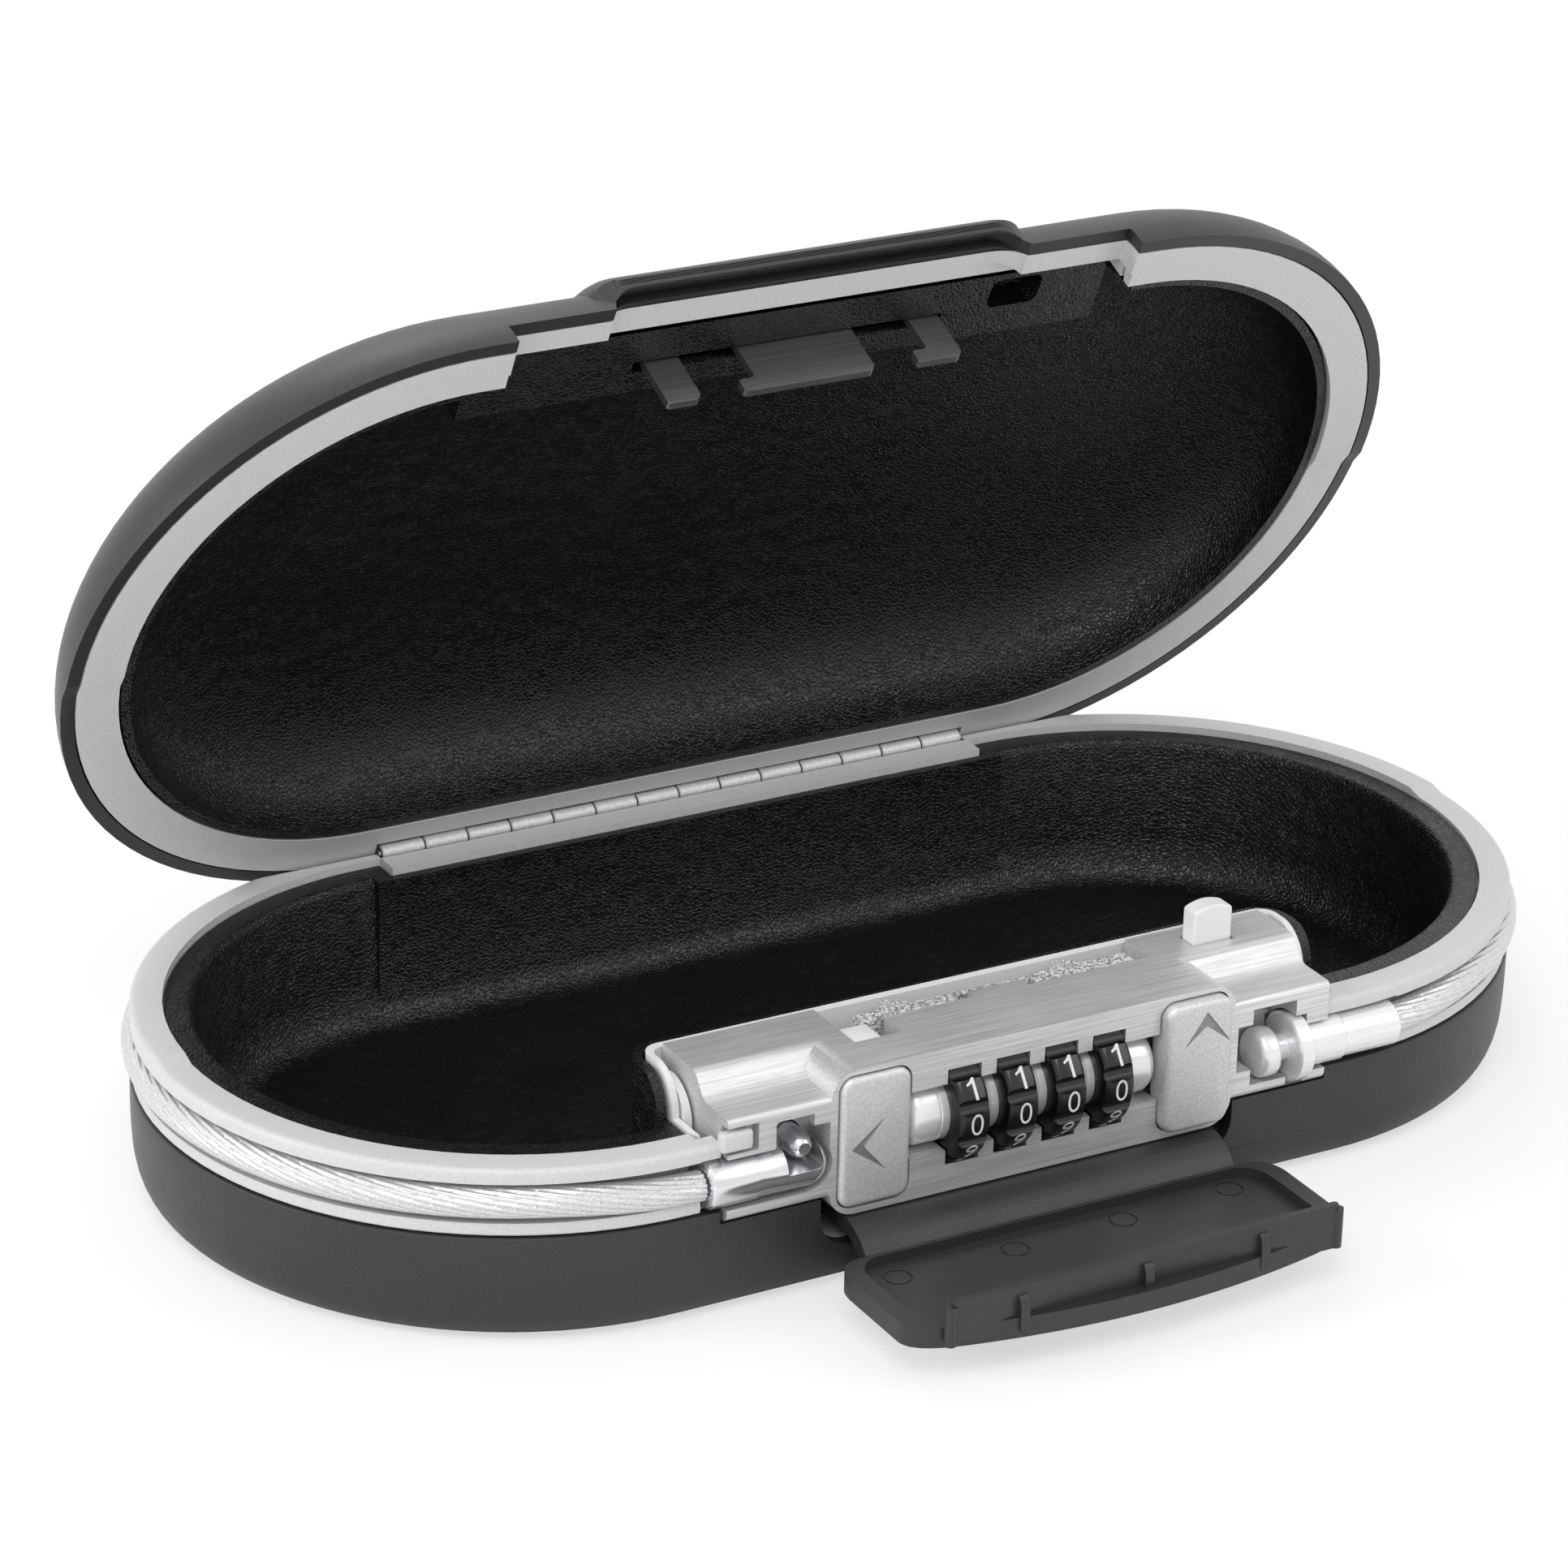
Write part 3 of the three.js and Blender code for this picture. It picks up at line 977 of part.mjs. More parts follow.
function cablePlug() {
  const profile = [
    [FERRULE_LEFT, 0], [FERRULE_LEFT, FERRULE_R], [FERRULE_SEAM, FERRULE_R], [FERRULE_SEAM, PLUG_R],
  ];
  for (let i = 0; i < 6; i += 1) {
    const turn = (Math.PI / 2) * (i / 6);
    profile.push([PLUG_END - PLUG_R + PLUG_R * Math.sin(turn), PLUG_R * Math.cos(turn)]);
  }
  profile.push([PLUG_END, 0]);
  const notch = box(BOLT_X - 4, BOLT_X + BOLT_R + 0.4, BEYOND, 0, BOLT_Z - BOLT_R - 0.4, CABLE_Z + 10);
  return turnedX(profile, CHANNEL_Y, CABLE_Z, 24).subtract(notch);
}

function cableAnchor() {
  const headEnd = ANCHOR_LEFT + 3.4;
  const discEnd = DISC_LEFT + DISC_W;
  const r = ANCHOR_HEAD_R;
  return turnedX([
    [ANCHOR_LEFT, 0], [ANCHOR_LEFT, r - 0.9], [ANCHOR_LEFT + 0.9, r], [headEnd - 0.5, r], [headEnd, r - 0.5],
    [headEnd, 2.1], [DISC_LEFT, 2.1], [DISC_LEFT, DISC_R], [discEnd, DISC_R], [discEnd, FERRULE_R],
    [FERRULE_RIGHT - 11, FERRULE_R], [FERRULE_RIGHT - 10.6, FERRULE_R - 0.3], [FERRULE_RIGHT, FERRULE_R - 0.3],
    [FERRULE_RIGHT, 0],
  ], CHANNEL_Y, CABLE_Z, 24);
}

// Dial cover, lying open, and its flexible strap
function coverOutline(inset) {
  const shape = new THREE.Shape();
  const x = COVER_X - inset;
  const back = COVER_BACK - inset;
  const tip = COVER_TIP + inset;
  const bulge = 2 * (COVER_FAR + inset) - tip;
  shape.moveTo(x - 4.5, back);
  shape.quadraticCurveTo(x - 0.3, back - 0.5, x, back - 5.3);
  shape.lineTo(x, tip);
  shape.quadraticCurveTo(0, bulge, -x, tip);
  shape.lineTo(-x, back - 5.3);
  shape.quadraticCurveTo(-x + 0.3, back - 0.5, -x + 4.5, back);
  return shape;
}

function dialCover() {
  const inside = COVER_Z + COVER_T;
  const plate = prismZ(coverOutline(0), COVER_Z, inside, 8);
  const pocket = prismZ(coverOutline(COVER_RIM), COVER_Z + COVER_SKIN, inside + 1, 8);
  const rib = box(-RIB_X, RIB_X, RIB_Y - RIB_T / 2, RIB_Y + RIB_T / 2, COVER_Z + 1, inside + RIB_H);
  const gusset = polygon([
    [RIB_Y, inside - 1], [RIB_Y, inside + RIB_H - 1], [RIB_Y - GUSSET_LENGTH, inside - 1],
  ]);
  const gussets = GUSSETS.map((x) => prismX(gusset, x - GUSSET_T / 2, x + GUSSET_T / 2));
  const hollow = pocket.intersect(box(-COVER_X, COVER_X, RIB_Y + RIB_T / 2, COVER_BACK, 0, 40));
  return joined([plate.subtract(hollow), rib, ...gussets]);
}

function coverStrap() {
  const top = CORE_BOTTOM - FIT;
  const end = COVER_BACK + FIT;
  const hookBack = TRAY_FRONT + 1.6;
  return prismX(polygon([
    [hookBack + 2.8, top], [hookBack + 2.8, top - 3.6], [hookBack + FIT, top - 3.6],
    [hookBack + FIT, top - 2.3], [LOCK_FRONT, top - 2.4], [LOCK_FRONT - 2.5, top - 3.5],
    [LOCK_FRONT - 4.6, top - 5.0], [end, COVER_Z + 0.6], [end, COVER_Z + COVER_T - 0.2],
    [LOCK_FRONT - 4.8, top - 2.0], [LOCK_FRONT - 2.6, top - 0.7], [LOCK_FRONT + 0.2, top],
  ]), -STRAP_X, STRAP_X);
}

// Assembly: the base
place('base_shell', baseShell(), 'charcoal');
place('base_ring', baseRing(), 'grey');
place('base_liner', baseLiner(), 'liner');
place('hinge_leaf_base', hingeLeaf(0, -1), 'grey');
place('hinge_pin', rodX(-HINGE_HALF - 0.3, HINGE_HALF + 0.3, HINGE_Y, HINGE_Z, HINGE_PIN_R, 8), 'steel');
place('hinge_rivet_base_left', hingeRivet(-1, -1), 'steel');
place('hinge_rivet_base_right', hingeRivet(1, -1), 'steel');

// The lock
place('lock_housing', lockHousing(), 'brushed');
place('lock_tray', lockTray(), 'grey');
place('lock_screw_left', screw(-POST_X, POST_Y, TRAY_FLOOR, LOCK_SCREW_LENGTH, 1), 'steel');
place('lock_screw_right', screw(POST_X, POST_Y, TRAY_FLOOR, LOCK_SCREW_LENGTH, 1), 'steel');
place('tray_screw_left', screw(-PAD_X, POST_Y, TRAY_FLOOR + TRAY_WALL, TRAY_SCREW_LENGTH, -1), 'steel');
place('tray_screw_right', screw(PAD_X, POST_Y, TRAY_FLOOR + TRAY_WALL, TRAY_SCREW_LENGTH, -1), 'steel');
place('dial_spindle', dialSpindle(), 'plated');
place('detent_spring', detentSpring(), 'steel');
for (let number = 1; number <= DIALS; number += 1) {
  place(`dial_${number}`, dial(number), 'black');
  place(`dial_sleeve_${number}`, dialSleeve(number), 'plated');
}
place('cable_button', button(-1, CABLE_BUTTON_PROUD), 'satin');
place('cable_button_spring', buttonSpring(-1, CABLE_BUTTON_PROUD), 'steel');
place('open_button', button(1, OPEN_BUTTON_PROUD), 'satin');
place('open_button_spring', buttonSpring(1, OPEN_BUTTON_PROUD), 'steel');
place('latch_slider', latchSlider(), 'satin');
place('lid_peg', lidPeg(), 'white');
place('peg_spring', pegSpring(), 'steel');
place('reset_lever', resetLever(), 'white');

// The cable
place('cable', cable(), 'vinyl');
place('cable_plug', cablePlug(), 'plated');
place('cable_anchor', cableAnchor(), 'plated');
place('cable_bolt', cableBolt(), 'plated');

// The dial cover
place('dial_cover', dialCover(), 'rubber');
place('cover_strap', coverStrap(), 'rubber');

// The lid
place('lid_shell', lidShell(), 'charcoal', lid);
place('lid_ring', lidRing(), 'grey', lid);
place('lid_liner', lidLiner(), 'liner', lid);
place('hinge_leaf_lid', hingeLeaf(1, 1), 'grey', lid);
place('hinge_rivet_lid_left', hingeRivet(-1, 1), 'steel', lid);
place('hinge_rivet_lid_right', hingeRivet(1, 1), 'steel', lid);
place('strike_plate', strikePlate(), 'steel', lid);
place('strike_screw_left', strikeScrew(-1), 'steel', lid);
place('strike_screw_right', strikeScrew(1), 'steel', lid);

export default portableCarSafe;
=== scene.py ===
# Portable car safe, dressed for rendering: lid open, dial cover folded down
import math

import bmesh
import bpy
from mathutils import Matrix, Quaternion, Vector


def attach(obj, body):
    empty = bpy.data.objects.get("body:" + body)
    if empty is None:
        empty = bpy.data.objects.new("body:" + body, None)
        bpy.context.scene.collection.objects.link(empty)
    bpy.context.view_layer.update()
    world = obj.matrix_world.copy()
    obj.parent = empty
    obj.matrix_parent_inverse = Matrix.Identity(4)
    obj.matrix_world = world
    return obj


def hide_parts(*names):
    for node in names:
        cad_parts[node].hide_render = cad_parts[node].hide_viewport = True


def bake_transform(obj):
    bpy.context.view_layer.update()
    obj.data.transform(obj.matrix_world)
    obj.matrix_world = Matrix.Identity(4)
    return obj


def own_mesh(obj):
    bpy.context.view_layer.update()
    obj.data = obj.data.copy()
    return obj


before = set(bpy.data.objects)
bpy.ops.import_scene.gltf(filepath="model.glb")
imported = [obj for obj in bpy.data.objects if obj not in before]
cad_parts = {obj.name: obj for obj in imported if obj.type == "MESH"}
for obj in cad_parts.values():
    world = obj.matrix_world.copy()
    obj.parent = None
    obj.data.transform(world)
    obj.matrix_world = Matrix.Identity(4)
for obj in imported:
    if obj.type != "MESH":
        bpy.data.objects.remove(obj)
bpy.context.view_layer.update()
scene = bpy.context.scene

safe = {  # millimetres, shared by every piece
    "straight": 60.0,  # half length of the straight sides, and the radius of the ends
    "parting": 30.0,
    "rearRise": 0.8,  # the base's top is this much higher behind the middle
    "rampLength": 3.0,
    "openTurn": 64.5,  # degrees that the lid stands open
    "arcSteps": 48,
}
shellScrews, trayScrews, strikeScrews = (36.0, -47.6), (48.5, -47.6), (16.0, -44.9)  # x at both sides, and y
rivetX = 36.0
cableWay = (-58.9, 23.2)  # the cable's line at the lock, as y and z
dialLine = (-56.2, 26.0)
hingeLine = (56.7, 30.7)
beyond = 90.0  # cutting shapes reach this far out


# Scene objects
def place(name, data):
    item = bpy.data.objects.new(name, data)
    scene.collection.objects.link(item)
    return item


def aimed(name, data, spot, back, roll=0.0):
    item = place(name, data)
    item.location = spot
    item.rotation_mode = "QUATERNION"
    item.rotation_quaternion = (-back).to_track_quat("-Z", "Y") @ Quaternion((0, 0, 1), math.radians(roll))
    return item


view = {  # metres and degrees
    "target": (0.021754, 0.057626, 0.027925),
    "distance": 0.974403,
    "azimuth": -29.806,
    "elevation": 23.586,
    "roll": 1.417,
    "lens": 129.421,
}


def setCamera():
    turn, rise = math.radians(view["azimuth"]), math.radians(view["elevation"])
    back = Vector((math.sin(turn) * math.cos(rise), -math.cos(turn) * math.cos(rise), math.sin(rise)))
    data = bpy.data.cameras.new("camera")
    data.lens = view["lens"]
    data.sensor_width = 36
    data.clip_end = 50
    spot = Vector(view["target"]) + back * view["distance"]
    scene.camera = aimed("camera", data, spot, back, view["roll"])


setCamera()
print("camera set")


# Shapes: everything is modelled in millimetres and scaled when it is finished
def tidy(bm):
    bmesh.ops.remove_doubles(bm, verts=bm.verts, dist=0.002)
    bmesh.ops.dissolve_degenerate(bm, edges=bm.edges, dist=0.0005)
    bmesh.ops.recalc_face_normals(bm, faces=bm.faces)
    return bm


def move(bm, vec):
    bmesh.ops.translate(bm, verts=bm.verts, vec=vec)


def rotate(bm, degrees, axis, centre=(0, 0, 0)):
    matrix = Matrix.Rotation(math.radians(degrees), 3, axis)
    bmesh.ops.rotate(bm, verts=bm.verts, cent=centre, matrix=matrix)


def rounded(bm, geom, radius, affect, segments):
    bmesh.ops.bevel(
        bm, geom=geom, offset=radius, offset_type="OFFSET", affect=affect,
        segments=segments, profile=0.5, material=-1,
    )


def spun(bm, geom, centre, axis, angle, steps, rise=(0, 0, 0), merge=False):
    return bmesh.ops.spin(
        bm, geom=geom, cent=centre, axis=axis, dvec=rise, angle=angle, steps=steps,
        use_merge=merge, use_duplicate=False,
    )["geom_last"]


def ofKind(items, kind):
    return [item for item in items if isinstance(item, kind)]


def wireOf(bm, spots, closed=False):
    verts = [bm.verts.new(spot) for spot in spots]
    edges = [bm.edges.new(pair) for pair in zip(verts, verts[1:])]
    if closed:
        edges.append(bm.edges.new((verts[-1], verts[0])))
    return verts + edges


def aroundSafe(section, closed=False):  # section of (inset from the outline, height), swept round the oval
    half = safe["straight"]
    bm = bmesh.new()
    geom = wireOf(bm, [(half, inset - half, z) for inset, z in section], closed)
    for side in (1, -1):
        last = spun(bm, geom, (side * half, 0, 0), (0, 0, 1), math.pi, safe["arcSteps"])
        grown = bmesh.ops.extrude_edge_only(bm, edges=ofKind(last, bmesh.types.BMEdge))["geom"]
        verts = ofKind(grown, bmesh.types.BMVert)
        bmesh.ops.translate(bm, verts=verts, vec=(-side * 2 * half, 0, 0))
        edges = ofKind(grown, bmesh.types.BMEdge)
        geom = verts + [edge for edge in edges if all(vert in verts for vert in edge.verts)]
    return tidy(bm)


def arc(a, b, acrossA, acrossB, degrees):  # starts above its centre and turns towards +A
    turns = [math.radians(turn) for turn in degrees]
    return [(a + acrossA * math.sin(turn), b + acrossB * math.cos(turn)) for turn in turns]


def mirrored(points):
    return [(-point[0], *point[1:]) for point in points[::-1]]


def superArc(first, z, drop, run, power, last, steps):  # superellipse quarter, cut off where it reaches last
    lastTurn = math.acos(max(0.0, 1 - (last - first) / run) ** (power / 2))
    points = []
    for i in range(steps + 1):
        turn = lastTurn * i / steps
        along = run * (1 - max(0.0, math.cos(turn)) ** (2 / power))
        points.append((first + along, z - drop * math.sin(turn) ** (2 / power)))
    return points


def prism(points, axis, low, high, segments=6):  # a third value in a point rounds that corner
    bm = bmesh.new()
    spots = {"x": lambda a, b: (low, a, b), "y": lambda a, b: (a, low, b), "z": lambda a, b: (a, b, low)}
    verts = [bm.verts.new(spots[axis](point[0], point[1])) for point in points]
    bm.faces.new(verts)
    for radius in sorted({point[2] for point in points if len(point) > 2}):
        chosen = [verts[i] for i, point in enumerate(points) if len(point) > 2 and point[2] == radius]
        rounded(bm, chosen, radius, "VERTICES", segments)
    grown = bmesh.ops.extrude_face_region(bm, geom=bm.faces[:])["geom"]
    step = high - low
    vec = {"x": (step, 0, 0), "y": (0, step, 0), "z": (0, 0, step)}[axis]
    bmesh.ops.translate(bm, verts=ofKind(grown, bmesh.types.BMVert), vec=vec)
    bmesh.ops.recalc_face_normals(bm, faces=bm.faces)
    return bm


def roundedPanel(a0, a1, b0, b1, radius, axis, low, high, segments=8):
    points = [(a0, b0, radius), (a1, b0, radius), (a1, b1, radius), (a0, b1, radius)]
    return prism(points, axis, low, high, segments)


def boxOf(x0, x1, y0, y1, z0, z1, rounding=0.0, segments=3):
    bm = bmesh.new()
    bmesh.ops.create_cube(bm, size=1)
    bmesh.ops.scale(bm, vec=(x1 - x0, y1 - y0, z1 - z0), verts=bm.verts)
    move(bm, ((x0 + x1) / 2, (y0 + y1) / 2, (z0 + z1) / 2))
    if rounding:
        rounded(bm, bm.edges[:], rounding, "EDGES", segments)
    return bm


def rodOf(axis, a, b, low, high, radius, sides=32):
    bm = bmesh.new()
    bmesh.ops.create_cone(
        bm, cap_ends=True, cap_tris=False, segments=sides, radius1=radius, radius2=radius, depth=high - low,
    )
    middle = (low + high) / 2
    if axis != "z":
        rotate(bm, *{"x": (90, "Y"), "y": (-90, "X")}[axis])
    move(bm, {"x": (middle, a, b), "y": (a, middle, b), "z": (a, b, middle)}[axis])
    return bm


def twoRods(x, y, low, high, radius):  # upright, left and right
    return [rodOf("z", side * x, y, low, high, radius) for side in (-1, 1)]


def turned(points, axis, a, b, steps=48, closed=False):  # points of (place along the axis, radius)
    bm = bmesh.new()
    spotAt, centre, line = {
        "x": (lambda s, r: (s, a, b + r), (0, a, b), (1, 0, 0)),
        "y": (lambda s, r: (a, s, b + r), (a, 0, b), (0, 1, 0)),
        "z": (lambda s, r: (a + r, b, s), (a, b, 0), (0, 0, 1)),
    }[axis]
    geom = wireOf(bm, [spotAt(s, r) for s, r in points], closed)
    spun(bm, geom, centre, line, 2 * math.pi, steps, merge=True)
    return tidy(bm)


def ballOf(x, y, z, radius, sides=32):
    bm = bmesh.new()
    bmesh.ops.create_uvsphere(bm, u_segments=sides, v_segments=sides // 2, radius=radius)
    move(bm, (x, y, z))
    return bm


def meshFrom(bm, name):
    mesh = bpy.data.meshes.new(name)
    bm.to_mesh(mesh)
    bm.free()
    return mesh


def combine(bm, tools, operation="DIFFERENCE"):  # frees the tools
    leaks = any(not edge.is_manifold for part in (bm, *tools) for edge in part.edges)
    host = place("host", meshFrom(bm, "host"))
    group = bpy.data.collections.new("tools")
    items = [place("tool", meshFrom(tool, "tool")) for tool in tools]
    for item in items:
        group.objects.link(item)
    change = host.modifiers.new("combine", "BOOLEAN")
    change.operation = operation
    change.solver = "EXACT" if leaks else "MANIFOLD"
    change.operand_type = "COLLECTION"
    change.collection = group
    bpy.context.view_layer.update()
    result = bpy.data.meshes.new_from_object(host.evaluated_get(bpy.context.evaluated_depsgraph_get()))
    out = bmesh.new()
    out.from_mesh(result)
    for item in [host, *items]:
        mesh = item.data
        bpy.data.objects.remove(item)
        bpy.data.meshes.remove(mesh)
    bpy.data.collections.remove(group)
    bpy.data.meshes.remove(result)
    return out


def together(host, part):  # two pieces of one mesh that only touch
    mesh = meshFrom(part, "part")
    host.from_mesh(mesh)
    bpy.data.meshes.remove(mesh)
    return host


def finishPiece(name, bm, look, rides, replaced=None, crisp=32, bevel=0.0):
    if rides == "lid":  # modelled shut
        rotate(bm, -safe["openTurn"], "X", (0, *hingeLine))
    bmesh.ops.scale(bm, vec=(0.001, 0.001, 0.001), verts=bm.verts)
    mesh = meshFrom(bm, name)
    mesh.materials.clear()
    mesh.materials.append(looks[look])
    mesh.polygons.foreach_set("material_index", [0] * len(mesh.polygons))
    mesh.shade_smooth()
    mesh.set_sharp_from_angle(angle=math.radians(crisp))
    piece = place(name, mesh)
    if bevel:
        edge = piece.modifiers.new("softened edges", "BEVEL")
        edge.width = bevel / 1000
        edge.segments = 2
        edge.limit_method = "ANGLE"
        edge.angle_limit = math.radians(38)
        edge.harden_normals = True
        edge.use_clamp_overlap = True
    if rides:
        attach(piece, rides)
    if replaced:
        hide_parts(replaced)
    return piece


# Materials
def paint(levels):  # colour written as it should render, 0 to 255
    parts = [level / 255 for level in levels]
    return (*[part / 12.92 if part <= 0.04045 else ((part + 0.055) / 1.055) ** 2.4 for part in parts], 1.0)


def addNode(tree, kind, settings=None, inputs=None):
    node = tree.nodes.new(kind)
    for key, value in (settings or {}).items():
        setattr(node, key, value)
    for key, value in (inputs or {}).items():
        if isinstance(value, bpy.types.NodeSocket):
            tree.links.new(value, node.inputs[key])
        else:
            node.inputs[key].default_value = value
    return node


def newGroup(name, scale, outputs=("Mask", "Height")):
    tree = bpy.data.node_groups.new(name, "ShaderNodeTree")
    newSocket = tree.interface.new_socket
    newSocket(name="Vector", in_out="INPUT", socket_type="NodeSocketVector")
    newSocket(name="Scale", in_out="INPUT", socket_type="NodeSocketFloat").default_value = scale
    for label in outputs:
        newSocket(name=label, in_out="OUTPUT", socket_type="NodeSocketFloat")
    return tree, tree.nodes.new("NodeGroupInput").outputs, tree.nodes.new("NodeGroupOutput").inputs


def noise(tree, vector, scale, detail, roughness=0.5):
    given = {"Vector": vector, "Scale": scale, "Detail": detail, "Roughness": roughness}
    return addNode(tree, "ShaderNodeTexNoise", None, given).outputs


def maths(tree, operation, *values):
    return addNode(tree, "ShaderNodeMath", {"operation": operation}, dict(enumerate(values))).outputs[0]


def vectorMaths(tree, operation, inputs):
    return addNode(tree, "ShaderNodeVectorMath", {"operation": operation}, inputs).outputs[0]


def mapped(tree, value, low, high, toLow, toHigh):
    given = {"Value": value, "From Min": low, "From Max": high, "To Min": toLow, "To Max": toHigh}
    return addNode(tree, "ShaderNodeMapRange", {"clamp": True}, given).outputs["Result"]


def speckleGroup():
    tree, given, result = newGroup("fine speckle", 900.0)
    fine = noise(tree, given["Vector"], given["Scale"], 3.0, 0.6)["Fac"]
    tree.links.new(mapped(tree, fine, 0.42, 0.62, 0, 1), result["Mask"])
    tree.links.new(fine, result["Height"])
    return tree


def leatherGroup():  # warped cells with fine noise over them
    tree, given, result = newGroup("leather grain", 700.0)
    warp = noise(tree, given["Vector"], 260.0, 2.0)["Color"]
    small = vectorMaths(tree, "SCALE", {0: warp, "Scale": 0.0022})
    shifted = vectorMaths(tree, "ADD", {0: given["Vector"], 1: small})
    spread = {"Vector": shifted, "Scale": given["Scale"]}
    cells = addNode(tree, "ShaderNodeTexVoronoi", {"feature": "DISTANCE_TO_EDGE"}, spread)
    fine = noise(tree, given["Vector"], 2200.0, 3.0)["Fac"]
    crease = mapped(tree, cells.outputs["Distance"], 0.0, 0.22, 0, 1)
    tree.links.new(crease, result["Mask"])
    tree.links.new(maths(tree, "MULTIPLY_ADD", fine, 0.25, crease), result["Height"])
    return tree


def brushedGroup():  # noise drawn out along X
    tree, given, result = newGroup("brushed metal", 1500.0)
    drawn = vectorMaths(tree, "MULTIPLY", {0: given["Vector"], 1: (0.022, 1.0, 1.0)})
    streak = noise(tree, drawn, given["Scale"], 4.0, 0.7)["Fac"]
    tree.links.new(mapped(tree, streak, 0.35, 0.68, 0, 1), result["Mask"])
    tree.links.new(streak, result["Height"])
    return tree


def handledGroup():  # soft smudges that change the gloss
    tree, given, result = newGroup("handled", 60.0, ("Mask",))
    wide = noise(tree, given["Vector"], given["Scale"], 6.0, 0.62)["Fac"]
    tree.links.new(mapped(tree, wide, 0.3, 0.7, 0, 1), result["Mask"])
    return tree


effects = {
    "speckle": speckleGroup(),
    "leather": leatherGroup(),
    "brushed": brushedGroup(),
    "handled": handledGroup(),
}


extras = {"blackLeather": {"Specular IOR Level": 0.45}, "braidSteel": {"Coat Weight": 0.4}}


def makeLook(name, finish):
    colour, dark, (low, high), (kind, scale, depth), metal = finish
    look = bpy.data.materials.new(name)
    look.use_nodes = True
    tree = look.node_tree
    shader = tree.nodes["Principled BSDF"].inputs
    spot = tree.nodes.new("ShaderNodeTexCoord").outputs["Object"]
    spread = {"Vector": spot, "Scale": scale}
    grain = addNode(tree, "ShaderNodeGroup", {"node_tree": effects[kind]}, spread).outputs
    spread = {"Vector": spot, "Scale": 60.0}
    handled = addNode(tree, "ShaderNodeGroup", {"node_tree": effects["handled"]}, spread)
    tones = {0: grain["Mask"], 6: paint(dark), 7: paint(colour)}  # 6 and 7 are the mix node's colours
    blend = addNode(tree, "ShaderNodeMix", {"data_type": "RGBA"}, tones)
    tree.links.new(blend.outputs[2], shader["Base Color"])
    tree.links.new(mapped(tree, handled.outputs["Mask"], 0, 1, low, high), shader["Roughness"])
    bumps = {"Height": grain["Height"], "Strength": 1.0, "Distance": depth / 1000}
    tree.links.new(addNode(tree, "ShaderNodeBump", None, bumps).outputs["Normal"], shader["Normal"])
    for label, value in {"Metallic": metal, "Coat Roughness": 0.08, **extras.get(name, {})}.items():
        shader[label].default_value = value
    return look


finishes = {  # colour, darker colour, roughness from and to, grain with its scale and depth in mm, metallic
    "shellPlastic": ((44, 44, 46), (36, 36, 38), (0.38, 0.46), ("speckle", 2600.0, 0.03), 0.0),
    "ringPlastic": ((206, 206, 207), (198, 198, 199), (0.4, 0.5), ("speckle", 2200.0, 0.015), 0.0),
    "blackLeather": ((10, 10, 10), (3, 3, 3), (0.3, 0.42), ("leather", 1400.0, 0.075), 0.0),
    "brushedMetal": ((226, 226, 228), (192, 192, 194), (0.44, 0.52), ("brushed", 2600.0, 0.012), 0.68),
    "castMetal": ((214, 214, 215), (198, 198, 200), (0.44, 0.54), ("speckle", 2400.0, 0.03), 0.5),
    "markMetal": ((150, 150, 152), (128, 128, 130), (0.4, 0.5), ("brushed", 1800.0, 0.02), 0.6),
    "sinteredMetal": ((252, 252, 253), (128, 128, 130), (0.4, 0.6), ("speckle", 2600.0, 0.12), 0.2),
    "tabSteel": ((138, 138, 140), (112, 112, 114), (0.3, 0.42), ("brushed", 1800.0, 0.02), 0.85),
    "platedMetal": ((226, 226, 229), (218, 218, 221), (0.14, 0.22), ("brushed", 1400.0, 0.002), 0.9),
    "satinSteel": ((240, 240, 242), (226, 226, 228), (0.24, 0.32), ("brushed", 1800.0, 0.004), 0.4),
    "plainSteel": ((190, 190, 194), (168, 168, 172), (0.25, 0.4), ("brushed", 1600.0, 0.008), 1.0),
    "braidSteel": ((222, 223, 225), (196, 198, 200), (0.3, 0.4), ("speckle", 3600.0, 0.02), 0.5),
    "dialBlack": ((12, 12, 12), (7, 7, 8), (0.26, 0.34), ("speckle", 2000.0, 0.008), 0.0),
    "digitWhite": ((222, 222, 221), (210, 210, 209), (0.45, 0.55), ("speckle", 2400.0, 0.006), 0.0),
    "whitePlastic": ((228, 228, 228), (222, 222, 222), (0.34, 0.44), ("speckle", 1600.0, 0.01), 0.0),
    "coverPlastic": ((48, 48, 50), (40, 40, 42), (0.36, 0.46), ("speckle", 2600.0, 0.02), 0.0),
    "strapRubber": ((44, 44, 46), (36, 36, 38), (0.4, 0.5), ("speckle", 2200.0, 0.03), 0.0),
}
looks = {name: makeLook(name, finish) for name, finish in finishes.items()}
print("materials made:", len(looks))

# Base shell
baseShell = {
    "rim": 18.6, "wall": 2.2, "corner": 12.5, "innerCorner": 11.0, "power": 4.75,
    "overhang": 0.2, "lip": 0.45,
}


